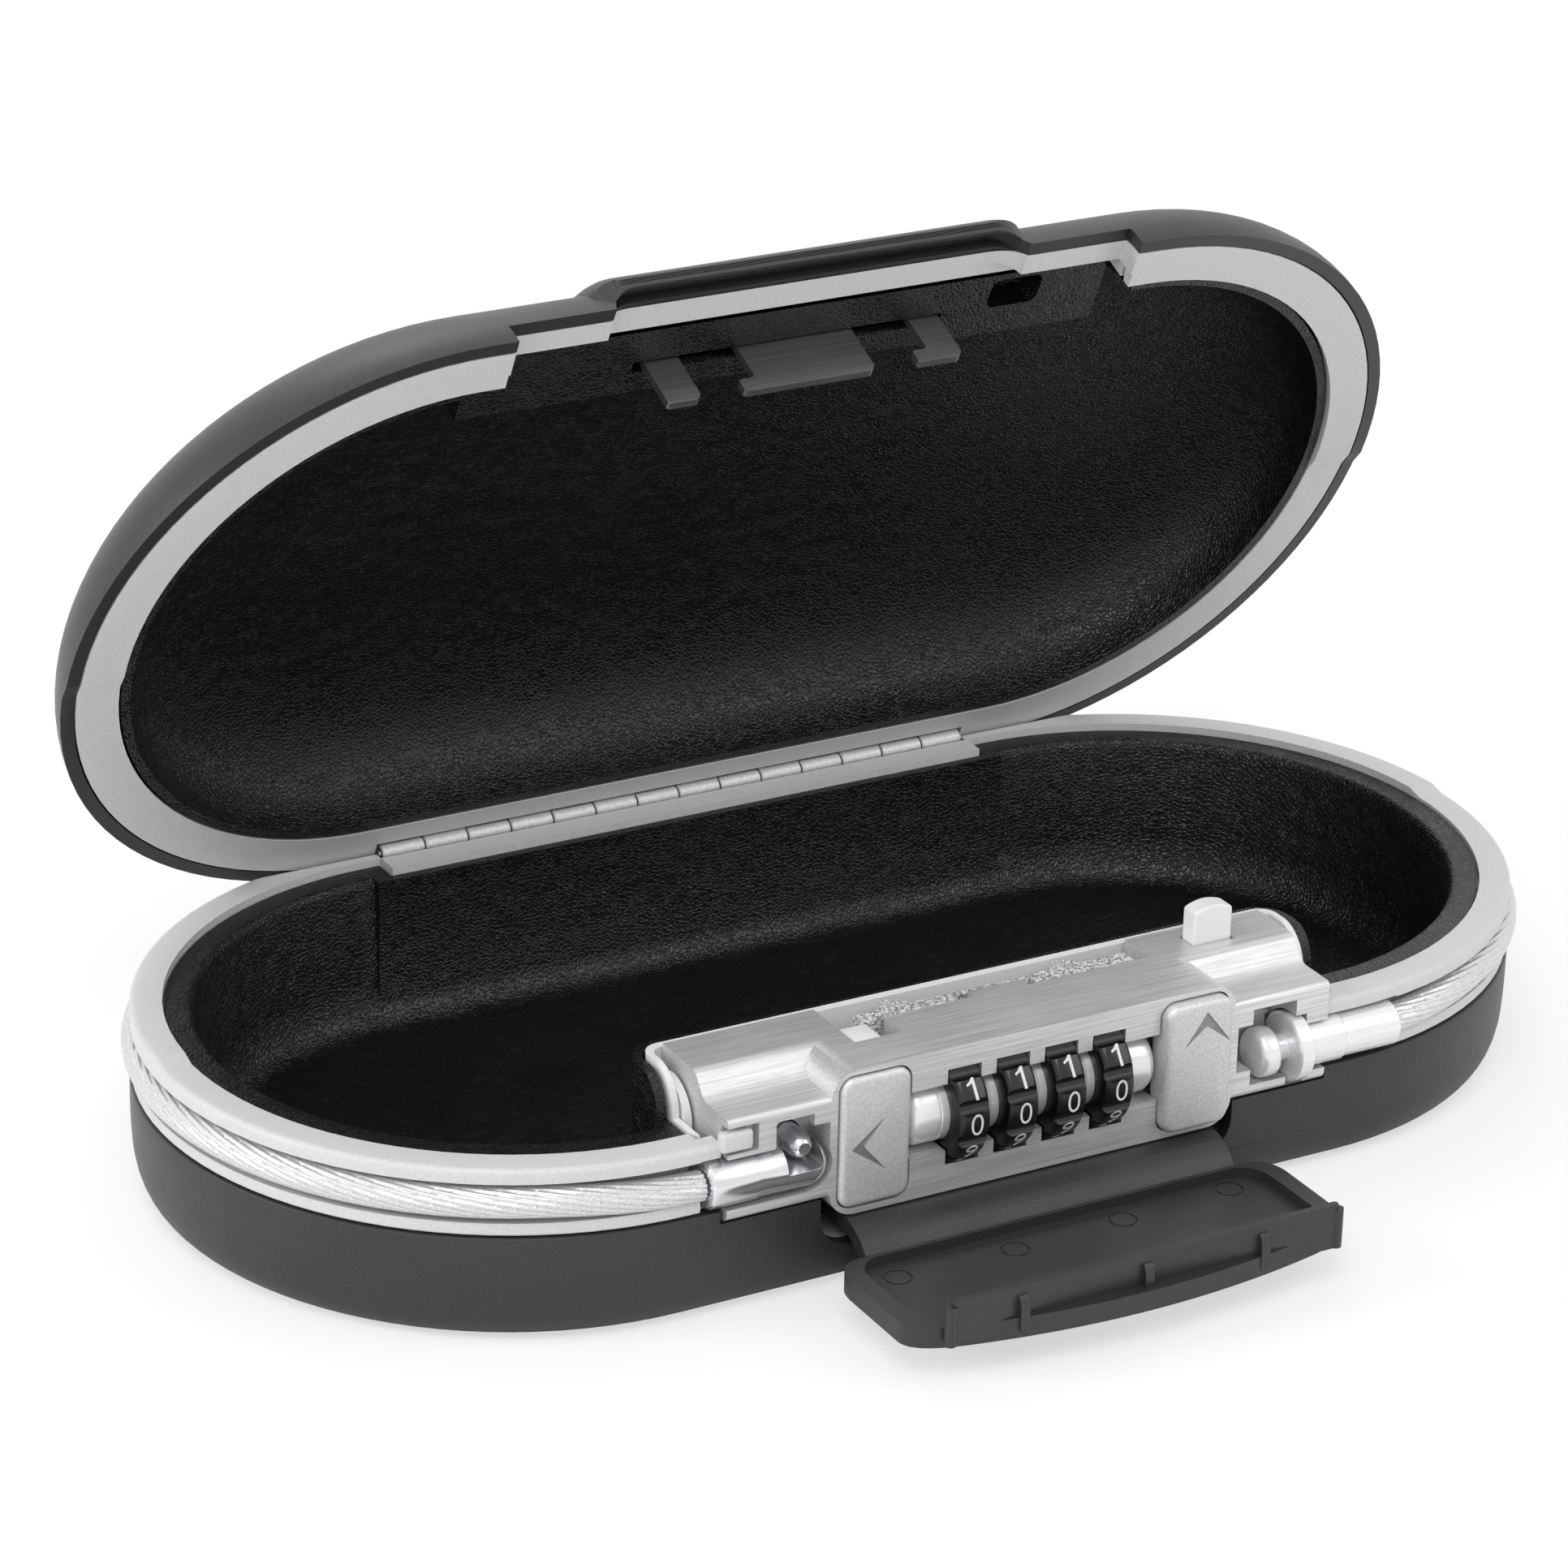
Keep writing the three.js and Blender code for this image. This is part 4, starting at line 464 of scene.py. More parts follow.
def makeBaseShell():
    s = baseShell
    rim, lip, over = s["rim"], s["lip"], s["overhang"]
    outer = superArc(-over, rim - lip, rim - lip, s["corner"], s["power"], 12.3, 40)
    inner = superArc(2.0, rim, rim - s["wall"], s["innerCorner"], s["power"], 13.0, 28)
    edge = [(-over + lip, rim), (-over + 0.13, rim - 0.13)]
    bm = aroundSafe([(60, s["wall"])] + inner[::-1] + edge + outer + [(60, 0)])
    bm = combine(bm, twoRods(*shellScrews, 1.1, 5.3, 4.0), "UNION")
    wingCut = boxOf(-54.9, 54.9, -beyond, -53.2, 16.4, 24)
    mouth = roundedPanel(-37.4, 37.4, 7.7, 38.6, 5.5, "y", -beyond, -56.3)
    bm = combine(bm, [wingCut, mouth, *twoRods(*shellScrews, 2.6, 6.3, 1.6)])
    finishPiece("baseShell", bm, "shellPlastic", "base", "base_shell", bevel=0.35)


makeBaseShell()
print("base shell done")

# Light ring on the base, with the cable's groove and the bar in front of the hinge
baseRing = {
    "top": 30.0, "edge": 1.0, "foot": 18.9, "ledge": 28.1,
    "grooveRadius": 3.3, "grooveZ": 24.3, "grooveInset": 0.7,
}
hingeBay = {"x": 56.6, "front": 54.7, "back": 56.7, "knuckles": 1.8}  # room cut for the hinge


def liftRear(bm, above):
    for y in (0.0, safe["rampLength"]):
        parts = bm.verts[:] + bm.edges[:] + bm.faces[:]
        bmesh.ops.bisect_plane(bm, geom=parts, plane_co=(0, y, 0), plane_no=(0, 1, 0))
    for vert in bm.verts:
        if vert.co.z > above and vert.co.y > 0:
            vert.co.z += safe["rearRise"] * min(1.0, vert.co.y / safe["rampLength"])
    return bm


def makeBaseRing():
    s = baseRing
    corner, reach, foot, ledge = s["edge"], s["grooveRadius"], s["foot"], s["ledge"]
    edge = arc(corner, s["top"] - corner, -corner, corner, (0, 22, 45, 68, 90))
    groove = arc(s["grooveInset"], s["grooveZ"], reach, reach, [202 * i / 16 - 11 for i in range(17)])
    bm = aroundSafe(edge + groove + [
        (0, 20.0), (0.1, 19.2), (0.4, foot), (2.3, foot), (2.3, 16.1), (4.5, 16.1), (4.5, foot), (7.5, foot),
        (7.5, ledge), (5.2, ledge), (5.2, s["top"]),
    ], closed=True)
    bar = boxOf(-56.6, 56.6, 50.2, 54.7, 25.5, 30.8)
    bm = combine(liftRear(bm, 28.6), [bar], "UNION")
    x, y = hingeBay["x"], hingeBay["back"]
    bm = combine(bm, [
        boxOf(-84, 84, 56.4, 70, 26.25, 35.15),  # behind the hinge
        boxOf(-x, x, 51.4, y, 27.6, 29.0),
        rodOf("x", *hingeLine, -x, x, hingeBay["knuckles"]),
        boxOf(-x, x, hingeBay["front"], y, 27.9, 32.7),
        boxOf(-54.9, 54.9, -beyond, -37.9, 0, 31.8),  # the lock's bay
        boxOf(-57.7, 57.7, -56.9, -35.9, 0, 31.8),
        rodOf("x", *cableWay, -58.3, -54.3, 4.6), rodOf("x", *cableWay, 54.3, 68.8, 4.6),
    ])
    finger = boxOf(-55.4, -49.9, -61.3, -59.1, 28.6, 31.9, 0.7, 4)
    finger = combine(finger, [rodOf("x", *cableWay, -58.3, -48, 4.6)])
    finishPiece("baseRing", together(bm, finger), "ringPlastic", "base", "base_ring", bevel=0.25)


makeBaseRing()
print("base ring done")

# Black tray inside the base; its collar climbs round the lock
baseLiner = {
    "floor": 2.5, "thick": 1.6, "flange": 29.6, "pocketX": 58.0, "pocketBack": -37.4,
    "collar": 36.3, "climbFrom": -43.4, "climb": (4.9, 6.8),
}


def makeBaseLiner():
    s = baseLiner
    under, top, crest = s["floor"], s["flange"], s["collar"]
    over = under + s["thick"]
    skin = [
        (60, under), (16, under), (13.6, under + 0.25), (12.4, under + 0.8), (11.2, under + 1.9),
        (10.4, under + 3.2), (9.6, under + 5.8), (9, 12), (8.0, top - 1.2), (5.5, top - 1.2), (5.5, top),
        (9.0, top), (9.5, top - 0.15), (9.8, top - 0.55), (10.1, top - 1.4), (10.8, 12), (11.3, over + 5.8),
        (12.2, over + 3), (13.1, over + 1.6), (14.2, over + 0.7), (15.6, over + 0.2), (17.6, over),
        (60, over),
    ]
    outX, outBack = s["pocketX"] + s["thick"], s["pocketBack"] + s["thick"]
    wall = roundedPanel(-outX, outX, -beyond, outBack, 5.5, "z", 2.6, top + 8)
    wall = combine(wall, [aroundSafe([(60, under)] + skin[1:10] + [(5.5, top), (60, top)])], "INTERSECT")
    bm = combine(aroundSafe(skin), [wall], "UNION")
    start, (run, drop) = s["climbFrom"], s["climb"]
    climb = arc(start, crest - drop, -run, drop, range(0, 91, 10))
    slope = prism([(-30, 20), (-30, 40), (start, 40)] + climb + [(climb[-1][0], 20)], "x", -beyond, beyond)
    collar = roundedPanel(-outX, outX, -70, outBack, 5.5, "z", top - 3, crest)
    bm = combine(bm, [combine(collar, [slope], "INTERSECT")], "UNION")
    bm = combine(bm, [boxOf(-60, 60, 48.3, 50.8, 3.5, top)], "UNION")  # fold in front of the hinge's bar
    room = roundedPanel(-s["pocketX"], s["pocketX"], -beyond, s["pocketBack"], 4, "z", -5, 45)
    bm = combine(bm, [room, boxOf(-57, 57, 49.9, 70, 25.2, 40)])
    finishPiece("baseLiner", bm, "blackLeather", "base", "base_liner", crisp=50, bevel=0.5)


makeBaseLiner()
print("base liner done")

# Lock housing: a rounded core between two wings
lock = {
    "front": -61.0, "back": -39.9, "wingX": 54.3, "wingBottom": 16.7, "ledge": 34.0, "ledgeBack": -53.2,
    "rampBack": -50.2, "coreX": 36.5, "coreBottom": 13.2, "top": 37.8, "corner": 4.5,
    "dialPitch": 8.7, "window": (22.4, 5.7),
    "buttonX": 28.85, "buttonZ": 25.6, "boltX": -40.6, "boltZ": 25.9, "plugEnd": -40.3,
}


def buttonPanel(side, grow, low, high):
    x, z, across, up = side * lock["buttonX"], lock["buttonZ"], 6.15 + grow, 11 + grow
    return roundedPanel(x - across, x + across, z - up, z + up, 2.3 + grow, "y", low, high)


def cableRoom(low, high, radius, start=None, sides=32):  # round at the back, open to the front
    y, z = cableWay
    box = boxOf(low if start is None else start, high, -80, y, z - radius, z + radius)
    return [rodOf("x", y, z, low, high, radius, sides=sides), box]


def makeLockHousing():
    s = lock
    wings = prism([
        (s["front"], s["wingBottom"], 1.6), (s["back"], s["wingBottom"]), (s["back"], s["top"]),
        (s["rampBack"], s["top"], 1.0), (s["ledgeBack"], s["ledge"], 1.2), (s["front"], s["ledge"], 0.8),
    ], "x", -s["wingX"], s["wingX"])
    x, depth = s["coreX"], (s["front"], s["back"])
    core = roundedPanel(-x, x, s["coreBottom"], s["top"], s["corner"], "y", *depth, 10)
    rooms = []
    for side in (-1, 1):
        x = side * s["buttonX"]
        rooms += [buttonPanel(side, 0.3, -80, -54.8), rodOf("y", x, s["buttonZ"], -55.8, -45.4, 3.0)]
        rooms.append(rodOf("z", side * trayScrews[0], trayScrews[1], 15.7, 23.5, 1.7))
    (y, z), (windowX, windowZ) = dialLine, s["window"]
    rooms.append(boxOf(-windowX, windowX, -80, y, z - windowZ, z + windowZ))
    rooms.append(rodOf("x", y, z, -windowX, windowX, windowZ, sides=64))
    for number in range(4):
        x = (number - 1.5) * s["dialPitch"]
        rooms.append(rodOf("x", y, z, x - 3.0, x + 3.0, 9.45, sides=64))
    rooms.append(boxOf(-16.6, 16.6, -47.0, -45.5, 17.5, 27.5))  # comb spring
    slot = combine(boxOf(-27.9, 29.0, -47.0, -38.9, 33.4, 38.8), [boxOf(-3.3, 6.6, -48, -45.1, 32, 40)])
    rooms += [
        slot, boxOf(-27.9, 29.0, -43.8, -38.9, 28.8, 38.8), boxOf(-27.9, -19.5, -52.7, -46.5, 31.0, 38.8),
        boxOf(37.25, 44.95, -47.2, -43.0, 18.3, 38.8),  # spring peg
    ]
    bm = combine(combine(core, [wings], "UNION"), rooms)
    (y, z), end = cableWay, s["plugEnd"]
    plugRooms = cableRoom(-55.3, end, 4.3) + [
        ballOf(end, y, z, 4.2), rodOf("y", end, z, -80, y, 4.2),
        boxOf(-46.0, -39.4, -62, -54.5, z, 32.0), boxOf(-40.6, -36.6, -62, -54.5, z, 30.0),
        rodOf("y", s["boltX"], s["boltZ"], -55.5, -42.9, 2.4),
        boxOf(-55.3, -49.0, -80, y + 0.1, 28.2, 32.7),  # the ring's finger
    ]
    anchorRooms = [boxOf(40.0, 48.2, -80, -54.2, 18.85, 32.1), boxOf(37.3, 41.4, -80, -54.2, 21.6, 29.5)]
    anchorRooms += cableRoom(46.9, 50.3, 6.1, 47.2, 48) + cableRoom(47.2, 55.3, 4.3)
    bm = combine(bm, plugRooms + anchorRooms)
    finishPiece("lockHousing", bm, "brushedMetal", "base", "lock_housing", bevel=0.3)


makeLockHousing()
print("lock housing done")

# Tray that carries the lock
tray = {
    "x": 57.4, "back": -37.9, "front": -56.6, "floor": 5.3, "top": 37.0, "wall": 1.5, "inX": 56.3,
    "earBack": -42.9, "ear": (6.4, 7.2),
}


def makeLockTray():
    s = tray
    hull = roundedPanel(-s["x"], s["x"], s["front"], s["back"], 3, "z", s["floor"], s["top"])
    inBack, inFloor = s["back"] - s["wall"], s["floor"] + s["wall"]
    room = roundedPanel(-s["inX"], s["inX"], -beyond, inBack, 2, "z", inFloor, s["top"] + 1)
    back, (run, drop) = s["earBack"], s["ear"]
    crown = arc(back, s["top"] - drop, -run, drop, [7.5 * i for i in range(12, -1, -1)])
    slope = prism([(-beyond, 29.8)] + crown + [(back, 42), (-beyond, 42)], "x", -120, 120)
    bm = combine(hull, [room, slope])
    extra = twoRods(*trayScrews, s["floor"] + 0.5, 16.7, 3.7)
    ear = [(-50.5, 6), (-41.5, 6), (-41.5, 34.9, 2.5), (-50.5, 34.9, 6.5)]
    for side in (-1, 1):
        extra.append(prism(ear, "x", *sorted((side * 54.7, side * 56.0)), 10))
        low, high = sorted((side * 55.5, side * 56.6))
        extra.append(boxOf(low, high, -49, -42, 6, 26))
    bm = combine(bm, extra, "UNION")
    ends = [rodOf("x", *cableWay, *sorted((side * 58.4, side * 54.3)), 4.3) for side in (-1, 1)]
    holes = twoRods(*trayScrews, 0, 17.7, 1.6)
    bm = combine(bm, holes + twoRods(*shellScrews, 0, 8.3, 1.6) + ends)
    finishPiece("lockTray", bm, "whitePlastic", "base", "lock_tray", bevel=0.3)


makeLockTray()
print("lock tray done")

# Dials: ten flats with grooves between them, white numbers, their sleeves and the spindle
dials = {
    "radius": 9.2, "flat": 9.05, "width": 5.5, "bore": 5.5, "grooveRadius": 1.35, "grooveAt": 9.5,
    "digit": 3.5, "relief": 0.05, "sleeve": 8.5, "spindleX": 22.1, "spindle": 5.4, "core": 3.0,
}


def digitMesh(figure):  # stands on the XZ plane, facing -Y
    if figure == 1:
        stem = [(0.05, 0.95), (0.05, -1.8), (0.55, -1.8), (0.55, 1.8), (0.15, 1.8)]
        outline = [(-0.95, 0.85), (-0.85, 0.5)] + stem + [(-0.35, 1.2)]
        return prism(outline, "y", -dials["relief"], dials["relief"])
    text = bpy.data.curves.new("figure", "FONT")
    text.body = str(figure)
    text.size = dials["digit"] / 0.7
    text.extrude = dials["relief"]
    text.offset = -0.06
    text.align_x = "CENTER"
    text.align_y = "CENTER"
    item = place("figure", text)
    bpy.context.view_layer.update()
    mesh = bpy.data.meshes.new_from_object(item.evaluated_get(bpy.context.evaluated_depsgraph_get()))
    bpy.data.objects.remove(item)
    bpy.data.curves.remove(text)
    bm = bmesh.new()
    bm.from_mesh(mesh)
    bpy.data.meshes.remove(mesh)
    xs, ys = [v.co.x for v in bm.verts], [v.co.y for v in bm.verts]
    move(bm, (-(min(xs) + max(xs)) / 2, -(min(ys) + max(ys)) / 2, 0))
    bmesh.ops.scale(bm, vec=(1.02, 1.04, 1), verts=bm.verts)
    rotate(bm, 90, "X")
    return tidy(bm)


def dialMesh(x, y, z):
    s = dials
    half, reach = s["width"] / 2, s["radius"]
    edge = [(half - 1.2, reach), (half - 0.7, reach - 0.2), (half - 0.3, reach - 0.6), (half, reach - 1.2)]
    edge.append((half, s["bore"]))
    bm = turned([(x + along, r) for along, r in mirrored(edge) + edge], "x", y, z, 80, closed=True)
    flats = rodOf("x", y, z, x - 4, x + 4, s["flat"] / math.cos(math.pi / 10), sides=10)
    angles = [round(math.degrees(math.atan2(v.co.z - z, v.co.y - y)), 2) for v in flats.verts]
    rotate(flats, 18 - max(angles), "X", (0, y, z))
    grooves = []
    for turn in [math.radians(18 + 36 * i) for i in range(10)]:
        spot = (y + s["grooveAt"] * math.cos(turn), z + s["grooveAt"] * math.sin(turn))
        grooves.append(rodOf("x", *spot, x - 4, x + 4, s["grooveRadius"], sides=24))
    return combine(combine(bm, [flats], "INTERSECT"), grooves)


def sleeveMesh(x, y, z):
    left, right = x - dials["sleeve"] / 2, x + dials["sleeve"] / 2
    reach, core = dials["spindle"], 3.3
    bm = turned([
        (left, core), (left, reach - 0.3), (left + 0.3, reach),
        (right - 0.3, reach), (right, reach - 0.3), (right, core),
    ], "x", y, z, 64, closed=True)
    bm = combine(bm, [boxOf(left - 1, left + 1.2, y + 3.9, y + 7, z - 1, z + 1)])  # the gate
    return combine(bm, [boxOf(x + 3.1, right + 1, y - 7, y - 4.9, z - 0.4, z + 0.4)])


def makeDials():
    y, z = dialLine
    for number in range(1, 5):
        x = (number - 2.5) * lock["dialPitch"]
        body = f"dial_{number}_body"
        bm = dialMesh(x, y, z)
        finishPiece(f"dial{number}", bm, "dialBlack", body, f"dial_{number}", bevel=0.22)
        figures = bmesh.new()
        for figure in range(10):
            part = digitMesh(figure)
            move(part, (x, y - dials["flat"], z))
            rotate(part, -36 * figure, "X", (0, y, z))
            figures = together(figures, part)
        sleeve = sleeveMesh(x, y, z)
        finishPiece(f"dialSleeve{number}", sleeve, "satinSteel", body, f"dial_sleeve_{number}")
        finishPiece(f"dialNumbers{number}", figures, "digitWhite", body, crisp=30)


def makeSpindle():
    s = dials
    end = arc(s["spindleX"] - 2.0, s["spindle"] - 2.0, 2.0, 2.0, range(0, 91, 10))
    half = [(17.4, s["core"]), (17.4, s["spindle"])] + end + [(s["spindleX"], 0)]
    bm = turned(mirrored(half) + half, "x", *dialLine, 64)
    finishPiece("dialSpindle", bm, "satinSteel", "base", "dial_spindle")


makeDials()
makeSpindle()
print("dials done")

# Buttons with engraved chevrons
buttons = {  # side, front and chevron of each, then what they share
    "cable": (-1, -61.75, [(-33.2, 24.5), (-27.4, 29.1), (-30.9, 24.6), (-27.1, 20.2)]),
    "open": (1, -63.0, [(29.9, 34.8), (25.9, 29.2), (30.0, 32.3), (34.6, 28.8)]),
    "thick": 4.25, "stem": 9.4, "stemRadius": 1.6, "crown": 1.0, "depth": 0.45,
}


def makeButton(name):
    s, (side, front, mark) = buttons, buttons[name]
    back, body = front + s["thick"], f"{name}_button_body"
    bm = buttonPanel(side, 0, front, back)
    rim = [edge for edge in bm.edges if all(abs(vert.co.y - front) < 0.001 for vert in edge.verts)]
    rounded(bm, rim, s["crown"], "EDGES", 5)
    middle = (side * lock["buttonX"], lock["buttonZ"])
    stem = rodOf("y", *middle, back - 0.5, back + s["stem"], s["stemRadius"])
    outline = [(x, z, 0.25) for x, z in mark]
    floor = front + s["depth"]
    bm = combine(combine(bm, [stem], "UNION"), [prism(outline, "y", front - 1, floor, 3)])
    finishPiece(f"{name}Mark", prism(outline, "y", floor - 0.12, floor + 0.1, 3), "markMetal", body)
    finishPiece(f"{name}Button", bm, "castMetal", body, f"{name}_button", bevel=0.08)


for which in ("cable", "open"):
    makeButton(which)
print("buttons done")

# Latch slider, spring peg and reset lever in the lock's top
latch = {
    "left": -23.3, "right": 26.7, "front": -46.8, "back": -43.9, "floor": 33.4, "top": 37.5,
    "fill": (-5.6, 8.7, -44.8), "bumps": ((-17.9, -13.1), (13.2, 18.6)), "reach": -41.0,
}
peg = {"x": 41.075, "half": 3.575, "front": -46.9, "back": -43.3, "low": 28.2, "shoulder": 43.3, "crown": 0.9}


def makeLatch():
    s = latch
    front, back, reach = s["front"], s["back"], s["reach"]
    fillLeft, fillRight, fillBack = s["fill"]
    bm = prism([
        (s["left"], front, 0.3), (fillLeft, front, 0.2), (fillLeft, fillBack, 0.2),
        (fillRight, fillBack, 0.2),
        (fillRight, front, 0.2), (s["right"], front, 0.3), (s["right"], back + 0.5, 0.3),
        (9.5, back + 0.5, 0.3), (8.5, back, 0.3), (s["left"], back, 0.3),
    ], "z", s["floor"], s["top"], 3)
    bumps, hooks = [], []
    for left, right in s["bumps"]:
        outline = [(left, -45), (left, back + 1), (left + 0.9, reach, 0.9), (right - 0.9, reach, 0.9)]
        bumps.append(prism(outline + [(right, back + 1), (right, -45)], "z", 33.6, 37.3, 5))
        hooks.append(boxOf(left, right, -43.6, reach, 32.6, 33.9))
    bm = combine(combine(bm, bumps, "UNION"), hooks, "UNION")
    finishPiece("latchSlider", bm, "sinteredMetal", "latch_body", "latch_slider", bevel=0.15)
    lever = boxOf(-27.6, -22.8, -52.4, -47.1, 31.3, 37.5, 0.3)
    finishPiece("resetLever", lever, "whitePlastic", "reset_body", "reset_lever")


def makePeg():  # flat bar with an arched top
    s = peg
    outline = [(s["x"] - s["half"], s["low"]), (s["x"] + s["half"], s["low"])]
    for along in [k / 8 for k in range(8, -9, -1)]:
        outline.append((s["x"] + s["half"] * along, s["shoulder"] + s["crown"] * (1 - along ** 2)))
    bm = prism(outline, "y", s["front"], s["back"])
    finishPiece("lidPeg", bm, "whitePlastic", "peg_body", "lid_peg", crisp=25, bevel=0.45)


makePeg()
makeLatch()
print("latch, peg and lever done")

# Wound springs
springs = {  # axis and its place, low and high end, radius, wire, joint, fixed end, CAD node
    "peg": ("z", (41.1, -45.1), 18.6, 28.2, 1.6, 0.5, "peg_slide", 18.6, "peg_spring"),
    "cableButton": (
        "y", (-28.85, 25.6), -57.5, -45.4, 2.7, 0.6, "cable_button_press", -45.4, "cable_button_spring",
    ),
    "openButton": (
        "y", (28.85, 25.6), -58.75, -45.4, 2.7, 0.6, "open_button_slide", -58.75, "open_button_spring",
    ),
}
coil = {"turns": 7.0, "steps": 24}  # steps in one turn


def makeSpring(name):
    axis, (a, b), low, high, radius, wire, joint, fixed, node = springs[name]
    upright = axis == "z"
    bm = bmesh.new()
    bmesh.ops.create_circle(bm, segments=8, radius=wire / 2)
    rotate(bm, 90, "X")
    move(bm, (radius - wire / 2, 0, wire / 2))
    steps = coil["steps"] * coil["turns"]
    rise = (high - low - wire) / steps
    circle = bm.verts[:] + bm.edges[:]
    spun(bm, circle, (0, 0, 0), (0, 0, 1), 2 * math.pi * coil["turns"], int(steps), (0, 0, rise))
    bmesh.ops.holes_fill(bm, edges=[edge for edge in bm.edges if edge.is_boundary], sides=12)
    tidy(bm)
    if not upright:
        rotate(bm, -90, "X")
    move(bm, (a, b, low) if upright else (a, low, b))
    spring = finishPiece(f"{name}Spring", bm, "plainSteel", "base", node)
    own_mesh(spring)


# Cable, its two ends and the bolt
cable = {
    "radius": 2.5, "start": -57.8, "end": 68.6, "strands": 16, "lay": 18.0, "dent": 0.4,
    "lift": 1.0, "climb": 26.0, "steps": 520, "pathSteps": 160,
}


def cableSpot(along):  # point and heading on the cable's line
    run, level, half = -cableWay[0], cableWay[1], safe["straight"]
    first = cable["start"] + half
    if along <= first:
        return Vector((cable["start"] - along, -run, level)), Vector((-1, 0, 0))
    along -= first
    if along <= math.pi * run:
        turn = along / run
        spot = Vector((-half - run * math.sin(turn), -run * math.cos(turn), level))
        return spot, Vector((-math.cos(turn), math.sin(turn), 0))
    along -= math.pi * run
    if along <= 2 * half:
        return Vector((along - half, run, level)), Vector((1, 0, 0))
    turn = (along - 2 * half) / run
    spot = Vector((half + run * math.sin(turn), run * math.cos(turn), level))
    return spot, Vector((math.cos(turn), -math.sin(turn), 0))


def makeCable():
    s = cable
    run, half = -cableWay[0], safe["straight"]
    lastTurn = math.pi - math.asin((s["end"] - half) / run)
    length = s["start"] + half + math.pi * run + 2 * half + lastTurn * run
    sides = s["strands"] * 4
    bm = bmesh.new()
    loops = []
    for i in range(s["steps"] + 1):
        along = length * i / s["steps"]
        spot, heading = cableSpot(along)
        climb = min(1.0, min(along, length - along) / s["climb"])
        spot.z += s["lift"] * climb * climb * (3 - 2 * climb)
        out = heading.cross(Vector((0, 0, 1))).normalized()
        twist = 2 * math.pi * along / s["lay"]
        ring = []
        for turn in [2 * math.pi * j / sides for j in range(sides)]:
            bulge = abs(math.cos((turn - twist) * s["strands"] / 2))
            reach = s["radius"] - s["dent"] * (1 - bulge)
            ring.append(spot + out * (reach * math.cos(turn)) + Vector((0, 0, reach * math.sin(turn))))
        loops.append(wireOf(bm, ring, closed=True)[sides:])
    for low, high in zip(loops, loops[1:]):
        bmesh.ops.bridge_loops(bm, edges=low + high)
    bmesh.ops.holes_fill(bm, edges=loops[0] + loops[-1], sides=sides)
    bmesh.ops.recalc_face_normals(bm, faces=bm.faces)
    piece = finishPiece("braidedCable", bm, "braidSteel", "base", "cable", crisp=60)
    path = [tuple(cableSpot(length * i / s["pathSteps"])[0] / 1000) for i in range(s["pathSteps"] + 1)]
    return piece, path, length


def makeCableEnds():
    ball = arc(lock["plugEnd"], 0, 3.8, 3.8, range(0, 91, 6))
    sleeve = [(-57.5, 0), (-57.5, 3.6), (-57.1, 4.0), (-49.6, 4.0), (-49.2, 3.8)]
    bm = turned(sleeve + ball, "x", *cableWay, 64)
    bm = combine(bm, [boxOf(-44.6, -38.1, -beyond, 0, 23.4, 33.2, 0.3)])  # the notch
    plug = finishPiece("cablePlug", bm, "platedMetal", "base", "cable_plug", bevel=0.15)
    bm = turned([
        (41.4, 0), (41.4, 3.0), (41.5, 3.4), (41.8, 3.8), (42.3, 4.05), (44.3, 4.05), (44.65, 3.85),
        (44.8, 3.4), (44.8, 2.1), (47.2, 2.1), (47.2, 5.4), (47.5, 5.8), (49.7, 5.8), (50.0, 5.4),
        (50.0, 4.0), (57.0, 4.0), (57.4, 3.7), (67.6, 3.7), (68.0, 3.3), (68.0, 0),
    ], "x", *cableWay, 64)
    anchor = finishPiece("cableAnchor", bm, "satinSteel", "base", "cable_anchor", bevel=0.1)
    bolt = [(-60.2, 0), (-60.2, 1.0), (-59.9, 1.4), (-58.73, 2.1), (-48.7, 2.1), (-48.4, 1.8), (-48.4, 0)]
    bm = turned(bolt, "y", lock["boltX"], lock["boltZ"], 40)
    finishPiece("cableBolt", bm, "platedMetal", "cable_bolt_body", "cable_bolt", bevel=0.1)
    return plug, anchor


def layCable():
    piece, path, length = makeCable()
    plug, anchor = makeCableEnds()


layCable()
for name in springs:
    makeSpring(name)
print("cable and springs done")

# Dial cover folded down, and its flexible strap
cover = {
    "bottom": 6.0, "top": 9.4, "x": 39.5, "back": -67.7, "tip": -91.0, "far": -96.5, "skin": 1.7, "rim": 3.0,
    "ends": 3.4, "ribX": (-34.0, 35.0), "gussets": (-22, 0, 21),
    "marks": ((-31, -72.9), (-10.4, -73.3), (9.6, -72.6), (30, -71.5)),
}


def curve(p0, p1, p2, steps):  # quadratic, from p0 to p2
    spots = []
    for t in [i / steps for i in range(steps + 1)]:
        spots.append(tuple((1 - t) ** 2 * p0[k] + 2 * t * (1 - t) * p1[k] + t * t * p2[k] for k in (0, 1)))
    return spots


def coverOutline(inset):
    s = cover
    x, back, tip = s["x"] - inset, s["back"] - inset, s["tip"] + inset
    peak, near = 2 * (s["far"] + inset) - tip, tip + s["ends"]
    right = curve((x - 4.5, back), (x - 0.3, back - 0.5), (x, back - 5.3), 10)
    front = curve((x, tip), (0, peak), (-x, tip), 32)[3:-3]
    right += curve((x, near), (x, tip), front[0], 6)[:-1]
    return right + front + mirrored(right)


